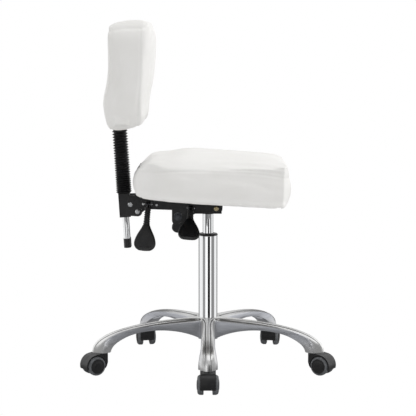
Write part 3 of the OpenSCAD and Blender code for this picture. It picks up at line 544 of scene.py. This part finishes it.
seatPad = {
    "voxel": 5.0, "evening": 5, "inset": 3.0, "pressure": 4.0, "stiffness": 12.0, "bending": 0.6,
    "cap": 2.6, "settling": 24, "frames": 20, "ventPlace": (-180.6, 0, 537.6),
    "seamLine": [(-10, 66), (40, 68), (120, 78), (250, 84), (350, 82), (400, 76), (430, 72)],
    "seamDepth": 1.5, "seamWidth": 3.0, "swell": 2.2, "pullDepth": 0.8,
    "creaseDepth": 3.0, "creaseWidth": 3.8, "creases": [(10, 215, 1.0), (22, 250, 0.8), (33, 190, 0.6)],
}


# Held flat where the cover lies on the board: near the underside, well inside the edge.
def seatFixed(points):
    at = seatLocal(points)
    inside = smooth(6, 22, at[:, 0]) * (1 - smooth(395, 411, at[:, 0]))
    vent = 1 - smooth(16, 34, np.linalg.norm(points - np.array(seatPad["ventPlace"]), axis=1))
    return np.maximum((1 - smooth(9, 15, at[:, 2])) * inside, vent)


# Move along the normal = -seam groove + swell of the boxing - creases on both shoulders - gathered pulls.
def seatDetails(obj, values):
    points, normals = readPoints(obj.data)
    at = seatLocal(points)
    u, v, h = at.T
    slant = math.cos(tilt)
    side = 1 - smooth(0.72, 0.94, np.abs(normals[:, 2]) * slant)
    line = through(values["seamLine"], u)
    seam = groove(h - line, values["seamWidth"]) * side
    move = -values["seamDepth"] * seam
    # the boxing below the seam swells between the seam and the tucked edge
    move += values["swell"] * side * smooth(10, 34, h) * (1 - smooth(line - 24, line - 4, h))
    # shallow creases that run back from the front corner on each shoulder
    for offset, reach, depth in values["creases"]:
        crease = groove(h - (line + offset - 0.022 * (400 - u)), values["creaseWidth"])
        fade = smooth(reach - 60, reach + 60, u) * (1 - smooth(372, 402, u))
        move -= values["creaseDepth"] * depth * crease * fade * smooth(60, 120, np.abs(v))
    # gathered pulls along the tucked lower edge
    pull = np.sin(u / 13.0 + 1.3 * np.sin(u / 37.0)) * np.sin(v / 15.0 + 1.1 * np.sin(v / 29.0) + 0.9)
    move -= values["pullDepth"] * smooth(0, 0.9, pull) * groove(h - 6, 9) * side
    points = points + normals * move[:, None]
    # where the cover passes under the board it lies just inside the board's face
    at = seatLocal(points)
    under = (normals[:, 2] < -0.6) & (at[:, 2] < 14) & (at[:, 0] > 30) & (at[:, 0] < 388)
    lift = np.where(under & (np.abs(at[:, 1]) < 158), np.maximum(0, 3.0 - at[:, 2]), 0)
    points[:, 2] += lift
    writePoints(obj.data, points)


backPad = {
    "voxel": 5.0, "evening": 6, "inset": 3.0, "pressure": 4.0, "stiffness": 12.0, "bending": 0.6,
    "cap": 3.2, "settling": 24, "frames": 20, "capHeight": 27.0, "capDepth": 1.7, "capWidth": 4.6,
    "seamDepth": 1.6, "seamWidth": 2.8, "turnIn": 26.0, "boardHalf": 147,
    "frontLine": [(0, 46), (20, 58), (60, 74), (110, 86), (160, 95), (230, 106), (290, 110)],
    "seamLine": [(0, 50), (20, 53.5), (80, 62), (150, 71), (220, 77), (290, 82.5)],
    "rearLine": [(0, -14), (60, -22), (95, -24), (130, -4), (200, 2), (290, 6)],
}


# Held where the cover lies against the stem's slot: a strip in the middle of the rear.
def backFixed(points):
    at = padLocal(points)
    return (1 - smooth(24, 36, np.abs(at[:, 1]))) * (1 - smooth(16, 24, at[:, 0])) \
        * (1 - smooth(100, 150, at[:, 2]))


# The flank turns in beyond the front seam by turnIn q^2, where q runs from 0 at the seam to 1 at the front;
# then move along the normal = -grooves under the top cap, down the front seam and behind.
def backDetails(obj, values):
    points, normals = readPoints(obj.data)
    u, v, h = padLocal(points).T
    front, seamAt = through(values["frontLine"], h), through(values["seamLine"], h)
    q = np.clip((u - seamAt) / (front - seamAt), 0, 1.2)
    points[:, 1] -= np.sign(v) * values["turnIn"] * q * q * smooth(70, 150, np.abs(v))
    # the lower front is a little fuller
    points[:, 0] += 9 * groove(h - 30, 34) * smooth(-10, 50, u)
    writePoints(obj.data, points)
    points, normals = readPoints(obj.data)
    u, v, h = padLocal(points).T
    side = smooth(0.5, 0.85, np.abs(normals[:, 1]))
    flank = smooth(80, 130, np.abs(v))
    capLine = 287 - values["capHeight"] + 0.03 * (u - 50)
    rim = smooth(0.35, 0.8, np.abs(normals[:, 1]) + np.abs(normals[:, 0]))
    below = 1 - smooth(-4, 4, h - capLine)
    move = -values["capDepth"] * groove(h - capLine, values["capWidth"]) * rim
    # the cap above the crease is rounder than the boxing
    move += 1.0 * groove(h - capLine - 15, 9) * rim
    # seam where the front panel meets the boxing
    move -= values["seamDepth"] * groove(u - seamAt, values["seamWidth"]) * flank * below
    # the boxing is fullest in its middle and hollow just behind the front seam and the rear seam
    move += 2.2 * groove(u - 0.42 * seamAt, 0.3 * seamAt) * side * smooth(10, 40, h) * below
    move -= 1.6 * groove(u - through(values["rearLine"], h), 6) * side * below
    points = points + normals * move[:, None]
    # the cover keeps outside the board's ends
    u, v, h = padLocal(points).T
    end = side * smooth(12, 22, h) * (1 - smooth(238, 260, h)) * (1 - smooth(14, 24, np.abs(u - 13)))
    points[:, 1] += np.sign(v) * np.maximum(0, values["boardHalf"] - np.abs(v)) * end * (np.abs(v) > 90)
    writePoints(obj.data, points)


seatCushion = stuffedCopy("seat_cushion", "seatCushion", seatPad, seatFixed)
seatDetails(seatCushion, seatPad)
seatCushion.data.shade_smooth()
put(seatCushion, "seat", leather, "seat_cushion", slot="white_upholstery")
print("seat cushion:", len(seatCushion.data.polygons), "faces")

backCushion = stuffedCopy("back_pad", "backCushion", backPad, backFixed)
backDetails(backCushion, backPad)
backCushion.data.shade_smooth()
put(backCushion, "backrest", leather, "back_pad", slot="white_upholstery")
print("back cushion:", len(backCushion.data.polygons), "faces")


gaiter = {"low": 146.3, "high": 313.7, "deep": 20.0, "wide": 31.0, "fold": 5.0, "folds": 26, "growth": 0.45,
          "wall": 1.0}


# Stadium outline in (x, y): half circles of radius `half` joined by straight sides.
def bellowsRing(half, wide, count=72):
    a = np.linspace(0, 2 * math.pi, count, endpoint=False)
    x, y = np.cos(a), np.sin(a)
    return np.stack([half * x, half * y + np.clip(y * 6, -1, 1) * (wide - half)], -1)


# Skin r = outer - fold ((1 + cos phase) / 2)^0.8, with the pitch growing upwards, then an inner wall.
def makeBellows(values):
    n = values["folds"] * 8
    t = np.linspace(0, 1, n + 1)
    g = values["growth"]
    z = values["low"] + (values["high"] - values["low"]) * (t + g / 2 * t * t) / (1 + g / 2)
    phase = t * values["folds"]
    fold = (0.5 + 0.5 * np.cos(2 * math.pi * phase))**0.8
    fold[[0, -1]] = 0.55
    rings = []
    for height, crest in zip(z, fold):
        depth = values["fold"] * crest
        outline = bellowsRing(values["deep"] - depth, values["wide"] - depth)
        rings.append(onStem(outline[:, 0], outline[:, 1], height))
    for height in np.linspace(values["high"], values["low"], 24):
        depth = values["fold"] + values["wall"]
        outline = bellowsRing(values["deep"] - depth, values["wide"] - depth)
        rings.append(onStem(outline[:, 0], outline[:, 1], height))
    rings.append(rings[0])
    return shade(loft("bellowsSkin", np.array(rings) * mm, closed=False), 50)


bellowsSkin = makeBellows(gaiter)
put(bellowsSkin, None, rubber, "bellows", slot="black_rubber")
low, high = onStem(0, 0, gaiter["low"] + 1) * mm, onStem(0, 0, gaiter["high"] - 1) * mm
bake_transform(bellowsSkin)
print("bellows made")


star = {
    "arms": 5, "topCurve": [(16, 134.4), (150.5, 132.6), (317.6, 120), (318.4, 58)],
    "underCurve": [(26, 78), (121, 128), (262, 110), (271.2, 58)], "footRadius": 24.0, "armHalf": 17.4,
    "ridgeHalf": 5.0, "ridgeHigh": 3.4, "wall": 5.0,
    "hubProfile": [(25.1, 78), (29.5, 78), (30.6, 79.5), (30.6, 120), (31.5, 133.2), (30.0, 134.6),
                   (25.9, 134.9), (25.1, 134.2), (25.1, 78)],
}


# Cubic curve: (1-t)^3 a + 3 t (1-t)^2 b + 3 t^2 (1-t) c + t^3 d.
def bezier(points, t):
    a, b, c, d = (np.array(p, float) for p in points)
    t = np.asarray(t, float)[..., None]
    return (1 - t)**3 * a + 3 * t * (1 - t)**2 * b + 3 * t * t * (1 - t) * c + t**3 * d


# Sections carried along the arm: each spans from the under curve to the top curve at the same t, so they
# stand upright at the hub and lie flat at the foot, where the section turns into an oval.
def makeArm(values, angle):
    t = np.linspace(0.0, 1.0, 84)
    top, low = bezier(values["topCurve"], t), bezier(values["underCurve"], t)
    reach, foot = top[:, 0], smooth(0.7, 1.0, t)
    half = values["armHalf"] + (values["footRadius"] - values["armHalf"]) * smooth(0.62, 0.98, t) \
        + 8 * np.exp(-(reach - 16) / 18)
    rib = values["ridgeHalf"] + 15 * np.exp(-(reach - 16) / 22) + foot
    ridge = values["ridgeHigh"] * smooth(0.01, 0.06, t) * (1 - 0.75 * foot)
    hollow = smooth(0.02, 0.1, t) * (1 - smooth(0.66, 0.8, t))
    along = top - low
    deep = np.linalg.norm(along, axis=1)
    rings, marks = [], []
    for k in range(len(t)):
        w, d, r, f = half[k], deep[k], ridge[k], foot[k]
        q = min(rib[k], 0.72 * w)
        shoulder = 4.5 + 9 * f
        fall = 3.0 + 7 * f
        under = 8 * f
        outer = [(-w + 0.6 + 13 * f, 0), (-w + 0.2 + 3.5 * f, under * 0.5 + 1),
                 (-w - 0.5, 0.32 * d + under * 0.4), (-w - 0.2, 0.6 * d), (-w, d - r - fall - shoulder),
                 (-w + 0.32 * shoulder, d - r - fall - 0.3 * shoulder),
                 (-w + 1.15 * shoulder * (1 - 0.2 * f), d - r - fall * 0.5),
                 (-q - 3.0, d - r - fall * 0.08), (-q - 2.0, d - r - 0.7), (-q - 0.9, d - r - 0.5),
                 (-q - 0.1, d - 0.25 * r), (-q + 1.2, d), (-q * 0.45, d + 0.25), (0, d + 0.35)]
        # dark marks the painted dark reflection line beside each rib; satin marks the belt-finished sides
        dark, satin = (1 - 0.5 * f) * (t[k] > 0.035), -(1 - 0.75 * f)
        finishAndPaintedLine = [satin, satin, satin, satin, satin, 0.3 * satin, 0, 0, dark, dark, 0, 0, 0, 0]
        outer = outer + [(-x, y) for x, y in reversed(outer[:-1])]
        wall = min(values["wall"], 0.7 * w)
        rise = max((d - r - fall - values["wall"]) * hollow[k], 0.0)
        inner = [(w - wall - 9 * f, 0), (w - wall - 0.8 - 9 * f, 0.5 * rise),
                 (w - wall - 3 - 6 * f, 0.92 * rise), (0, rise)]
        inner = inner + [(-x, y) for x, y in reversed(inner[:-1])]
        section = np.array(outer + inner)
        marks.append(np.array(finishAndPaintedLine + finishAndPaintedLine[-2::-1] + [satin] * len(inner)))
        place = low[k] + section[:, 1:2] * along[k] / d
        rings.append(np.stack([place[:, 0], section[:, 0], place[:, 1]], -1))
    rings = np.array(rings)
    c, q = math.cos(angle), math.sin(angle)
    turned = np.stack([rings[..., 0] * c - rings[..., 1] * q, rings[..., 0] * q + rings[..., 1] * c,
                       rings[..., 2]], -1)
    return loft("arm", turned * mm, marks=np.array(marks))


# Several closed shells kept as one mesh object.
def joined(name, parts):
    work = bmesh.new()
    for part in parts:
        work.from_mesh(part.data)
        bpy.data.objects.remove(part)
    mesh = bpy.data.meshes.new(name)
    work.to_mesh(mesh)
    work.free()
    obj = bpy.data.objects.new(name, mesh)
    bpy.context.scene.collection.objects.link(obj)
    return obj


arms = [makeArm(star, math.radians(-90 + 360 / star["arms"] * k)) for k in range(star["arms"])]
hub = revolve("hub", rounded(star["hubProfile"], 0.8))
starCasting = shade(joined("starCasting", arms + [hub]), 30)
put(starCasting, "base", aluminium, "star_base", slot="cast_aluminium")
starCasting.visible_glossy = False
print("star base made")


# profiles as (radius, height)
column = {
    "tube": [(5, 76), (5, 79), (20.5, 79), (22.4, 132), (22.4, 353.6), (23, 354), (24.6, 354), (25, 353.4),
             (25, 132), (24.1, 78), (24.1, 75), (23.6, 74), (5, 74), (5, 76)],
    "collar": [(14.25, 305), (14.25, 358.4), (14.8, 359), (23.6, 359), (25.8, 357.2), (25.8, 354.4),
               (25.2, 354.05), (22.3, 354.05), (22.3, 304.5), (21.6, 304), (14.8, 304), (14.25, 305)],
    "risingTube": [(0, 98), (13, 98), (14, 99.2), (14, 412), (13.3, 440), (6, 440), (6, 430), (0, 430)],
}
columnTube = revolve("columnTube", rounded(column["tube"], 0.5), around=144)
put(shade(columnTube), "base", chrome, "column_tube", slot="chrome_steel")

collar = revolve("columnCollar", rounded(column["collar"], 0.7))
put(shade(collar), "base", nylon, "guide_bush", slot="black_plastic")

risingTube = revolve("risingTube", rounded(column["risingTube"], 0.7), around=144)
put(shade(risingTube), "lift", chrome, "pressure_tube", slot="chrome_steel")
print("column made")


wheel = {"radius": 25.0, "width": 18.0, "rim": 19.6, "hoodEdge": 1.1}


# A tread and a hub disc turned about the wheel's axis, outwards from the caster's middle.
def makeWheel(name, node, body):
    a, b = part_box(node)
    centre = (np.array(a) + np.array(b)) / 2 / mm
    other = node.replace("left", "swap").replace("right", "left").replace("swap", "right")
    a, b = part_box(other)
    away = centre - (np.array(a) + np.array(b)) / 2 / mm
    axis = away / np.linalg.norm(away)
    inner = centre - axis * wheel["width"] / 2
    r, w, rim = wheel["radius"], wheel["width"], wheel["rim"]
    tyre = revolve(name + "Tread", rounded([
        (rim - 1.5, 1.2), (r - 2.2, 0.2), (r - 0.4, 1.0), (r, 2.6), (r, w * 0.5), (r - 0.5, w * 0.62),
        (r - 1.8, w * 0.74), (r - 3.6, w * 0.83), (rim + 0.5, w * 0.87), (rim - 0.4, w * 0.82),
        (rim - 1.5, w * 0.82), (rim - 1.5, 1.2)], 1.2), inner, axis, 72)
    disc = revolve(name + "Hub", rounded([
        (4.2, 0.2), (rim - 1.2, 0.2), (rim - 0.6, 1.2), (rim - 0.6, w * 0.85), (rim - 1.6, w * 0.9),
        (rim - 3.0, w * 0.88), (12, w * 0.93), (10.2, w * 0.97), (6, w - 0.3), (0, w - 0.1), (0, w - 4),
        (4.2, w - 4), (4.2, 0.2)], 0.8), inner, axis, 72)
    put(shade(tyre), body, tread, node, slot="caster_tyre")
    put(shade(disc), body, nylon, slot="black_plastic")


for k in range(1, 6):
    for side in ("left", "right"):
        makeWheel(f"caster{k}{side.title()}", f"caster_{k}_wheel_{side}", f"caster_{k}_{side}_wheel")
    hood = softened(f"caster_{k}_housing", wheel["hoodEdge"], 3, 24)
    put(hood, f"caster_{k}", nylon, f"caster_{k}_housing", slot="caster_hood_nylon")
print("casters made")


handle = {
    "length": 72.0, "ribPitch": 6.6, "ribSide": 2.9, "ribTop": 2.2, "dish": 1.5,
    "halfWidth": [(-60, 8.4), (-12, 8.6), (-3, 9.2), (4, 11.0), (14, 15.6), (26, 21.4), (38, 25.8),
                  (48, 27.9), (57, 27.2), (64, 23.6), (69, 17.6), (71.4, 11.5), (72, 6.0)],
    "halfThick": [(-60, 5.9), (0, 5.9), (10, 5.6), (30, 5.2), (60, 5.0), (69, 4.0), (72, 1.4)],
}


# Section half-width w(s) and half-thickness h(s) along the handle; the neck is ribbed and the blade is dished
# on top.
def makeHandle(name, origin, toRow, mirrorY, neck, droop, body, node):
    s = np.concatenate([np.linspace(12, neck, 70), np.linspace(neck, neck + handle["length"], 60)[1:]])
    d = s - neck
    w, h = through(handle["halfWidth"], d), through(handle["halfThick"], d)
    ribs = 0.5 - 0.5 * np.cos(2 * math.pi * (s - 12) / handle["ribPitch"])
    ribbed = (1 - smooth(-7, 2, d)) * smooth(14, 17, s)
    w, h = w - handle["ribSide"] * ribs**1.5 * ribbed, h - handle["ribTop"] * ribs**1.5 * ribbed
    a = np.linspace(0, 2 * math.pi, 40, endpoint=False)
    power = np.where(d > 0, 0.55, 0.8)[:, None]
    cx = np.sign(np.cos(a)) * np.abs(np.cos(a))**power
    cz = np.sign(np.sin(a)) * np.abs(np.sin(a))**power
    x = w[:, None] * cx
    dish = handle["dish"] * np.exp(-((d[:, None] - 47) / 17)**2 - (x / 16)**2) * (cz > 0)
    z = h[:, None] * cz - dish * np.clip(cz * 2, 0, 1)
    y = -np.broadcast_to(s[:, None], x.shape)
    c, q = math.cos(droop), math.sin(droop)
    y, z = y * c - z * q, y * q + z * c
    if mirrorY:
        y = -y
    obj = loft(name, toRow(origin[0] + x, origin[1] + y, origin[2] + z) * mm)
    return put(shade(obj, 50), body, nylon, node, slot="black_plastic")


# The row frame itself: (x, y, z).
def upright(x, y, z):
    return np.stack(np.broadcast_arrays(x, y, z), -1)


# name, place of the rod, frame, on the far side, length of the neck, droop in degrees, body, node
for name, origin, toRow, far, neck, droop, body, node in [
        ("reclineHandle", (-179, -49.5, 0), onSeat, False, 64, 56, "recline_lever", "recline_paddle"),
        ("tiltHandle", (-67, -49.5, -2), onSeat, False, 44, 38, "tilt_lever", "tilt_paddle"),
        ("heightHandle", (-71, 49.5, 428), upright, True, 40, 49, "height_lever", "gas_paddle")]:
    makeHandle(name, origin, toRow, far, neck, math.radians(droop), body, node)
print("levers made")


# CAD pieces whose edges are only rounded: width of the rounding
edges = {
    "mech_channel": 0.6, "seat_frame": 0.6, "back_bracket": 0.7, "back_stem": 0.5, "stem_cap": 0.8,
    "tilt_pivot_bolt": 0.4, "back_pivot_bolt": 0.4, "stem_clamp_bolt": 0.4, "clutch_bolts": 0.4,
    "cone_socket": 0.4, "seat_vent": 0.4, "seat_board": 0.8,
}
nodeBody = {n: b for b, members in frame["record"]["behaviour"]["bodies"].items() for n in members}
slotOf = {p["node"]: p["material_slot"] for p in frame["record"]["subparts"]}
for node, width in edges.items():
    piece = softened(node, width, 2, 24 if node == "seat_vent" else 28)
    put(piece, nodeBody[node], slotMaterials[slotOf[node]], node, slot=slotOf[node])
    piece.visible_glossy = False
    if node == "seat_board":
        piece.data.materials.append(underCover)
        down = np.array([f.normal.z for f in piece.data.polygons]) < -0.9
        piece.data.polygons.foreach_set("material_index", down.astype(int))
print("edges rounded")


# An area lamp at a place, aimed at a point.
def lit(name, place, aim, size, power):
    lamp = bpy.data.lights.new(name, "AREA")
    lamp.shape, lamp.size, lamp.size_y = "RECTANGLE", *size
    lamp.energy = power
    obj = bpy.data.objects.new(name, lamp)
    obj.location = place
    obj.rotation_euler = (Vector(aim) - Vector(place)).to_track_quat("-Z", "Y").to_euler()
    bpy.context.scene.collection.objects.link(obj)


# lengths in metres, power in watts; a lamp has place, aim, size, power; a card has direction, spread,
# level, top
studio = {
    "floorHalf": 30.0, "floor": "F4F4F4", "world": 0.71, "mirrored": 0.48, "mirroredFloor": 0.3,
    "lamps": {"overhead": ((0.4, 0.0, 2.6), (0, 0, 0.5), (1.6, 1.6), 9),
              "front": ((2.5, 0.75, 1.2), (0, 0, 0.6), (1.2, 1.8), 17),
              "near": ((0.6, -2.6, 2.3), (0, 0, 0.6), (1.4, 1.0), 6)},
    "cardDistance": 0.55,
    "mirrorCards": [(11, 27, 0.0, 0.33), (-18, 31, 1.2, 0.33), (32, 15, 1.25, 0.33), (-96.5, 61, 1.05, 0.9),
                    (103.5, 47, 1.05, 0.9), (-50, 30, 0.36, 0.9), (59, 38, 0.3, 0.9), (-152, 26, 0.12, 0.36),
                    (152, 26, 0.12, 0.36)],
    "cameraPlace": (0, -3.781, 0.888), "cameraPitch": 6.96, "lens": 124,
}


# Emission of white for camera rays, a dim grey for mirrored rays, and the real surface for all other light.
def whiteWhenSeen(tree, shader, output):
    path = addNode(tree, "ShaderNodeLightPath")
    dim = addNode(tree, "ShaderNodeEmission",
                  values={"Color": (1, 1, 1, 1), "Strength": studio["mirroredFloor"]})
    lower = addNode(tree, "ShaderNodeMixShader", links={0: (path, "Is Glossy Ray"), 1: shader, 2: (dim, 0)})
    seen = addNode(tree, "ShaderNodeMath", {"operation": "MAXIMUM"},
                   links={0: (path, "Is Camera Ray"), 1: (path, "Is Transmission Ray")})
    white = addNode(tree, "ShaderNodeEmission", values={"Color": (1, 1, 1, 1), "Strength": 1.0})
    mix = addNode(tree, "ShaderNodeMixShader", links={0: (seen, 0), 1: (lower, 0), 2: (white, 0)})
    tree.links.new(mix.outputs[0], output.inputs["Surface"])


floorMesh = bpy.data.meshes.new("floor")
r = studio["floorHalf"]
floorMesh.from_pydata([(-r, -r, 0), (r, -r, 0), (r, r, 0), (-r, r, 0)], [], [(0, 1, 2, 3)])
floor = bpy.data.objects.new("floor", floorMesh)
bpy.context.scene.collection.objects.link(floor)
floorMat, tree, shader = newMaterial("painted_floor_white", studio["floor"], 0.6)
at = (addNode(tree, "ShaderNodeTexCoord"), "Object")
mottle(tree, shader, at, 400, 0.55, 0.65, "Roughness")
whiteWhenSeen(tree, (shader, 0), tree.nodes["Material Output"])
floorMesh.materials.append(floorMat)

world = bpy.data.worlds.new("studio")
bpy.context.scene.world = world
world.use_nodes = True
tree = world.node_tree
tree.nodes.clear()
soft = addNode(tree, "ShaderNodeBackground", values={"Color": (1, 1, 1, 1), "Strength": studio["world"]})
bright = addNode(tree, "ShaderNodeBackground", values={"Color": (1, 1, 1, 1), "Strength": 1.0})
path = addNode(tree, "ShaderNodeLightPath")
dim = addNode(tree, "ShaderNodeBackground", values={"Color": (1, 1, 1, 1), "Strength": studio["mirrored"]})
glossy = addNode(tree, "ShaderNodeMixShader", links={0: (path, "Is Glossy Ray"), 1: (soft, 0), 2: (dim, 0)})
mix = addNode(tree, "ShaderNodeMixShader", links={0: (path, "Is Camera Ray"), 1: (glossy, 0), 2: (bright, 0)})
out = addNode(tree, "ShaderNodeOutputWorld", links={"Surface": (mix, 0)})

for name, (place, aim, size, power) in studio["lamps"].items():
    lit(name, place, aim, size, power)


# A card seen only in mirror-like reflections: it stands across the directions direction - spread / 2 ...
# direction + spread / 2, in degrees from the camera's side.
def mirrorCard(name, direction, spread, level, distance, low, high):
    a = np.radians([direction - spread / 2, direction + spread / 2])
    ends = np.stack([distance * np.sin(a), -distance * np.cos(a)], -1)
    corners = [(*ends[0], low), (*ends[1], low), (*ends[1], high), (*ends[0], high)]
    mesh = bpy.data.meshes.new(name)
    mesh.from_pydata([tuple(map(float, c)) for c in corners], [], [(0, 1, 2, 3)])
    obj = bpy.data.objects.new(name, mesh)
    bpy.context.scene.collection.objects.link(obj)
    mat = bpy.data.materials.new(name)
    mat.use_nodes = True
    mat.node_tree.nodes.clear()
    glow = addNode(mat.node_tree, "ShaderNodeEmission", values={"Color": (1, 1, 1, 1), "Strength": level})
    addNode(mat.node_tree, "ShaderNodeOutputMaterial", links={"Surface": (glow, 0)})
    mesh.materials.append(mat)
    obj.visible_camera = obj.visible_diffuse = obj.visible_shadow = obj.visible_transmission = False


for k, (direction, spread, level, high) in enumerate(studio["mirrorCards"]):
    mirrorCard(f"card{k}", direction, spread, level, studio["cardDistance"], 0.002, high)
mirrorCard("cardBehindLeft", -155, 50, 0.95, 1.15, 0.42, 2.0)
mirrorCard("cardBehindRight", 155, 50, 0.95, 1.15, 0.42, 2.0)

camera = bpy.data.cameras.new("camera")
camera.lens, camera.sensor_width = studio["lens"], 36
cameraObject = bpy.data.objects.new("camera", camera)
cameraObject.location = studio["cameraPlace"]
cameraObject.rotation_euler = (math.radians(90 - studio["cameraPitch"]), 0, 0)
bpy.context.scene.collection.objects.link(cameraObject)
bpy.context.scene.camera = cameraObject
bpy.context.scene.view_settings.view_transform = "Standard"
print("stage set")
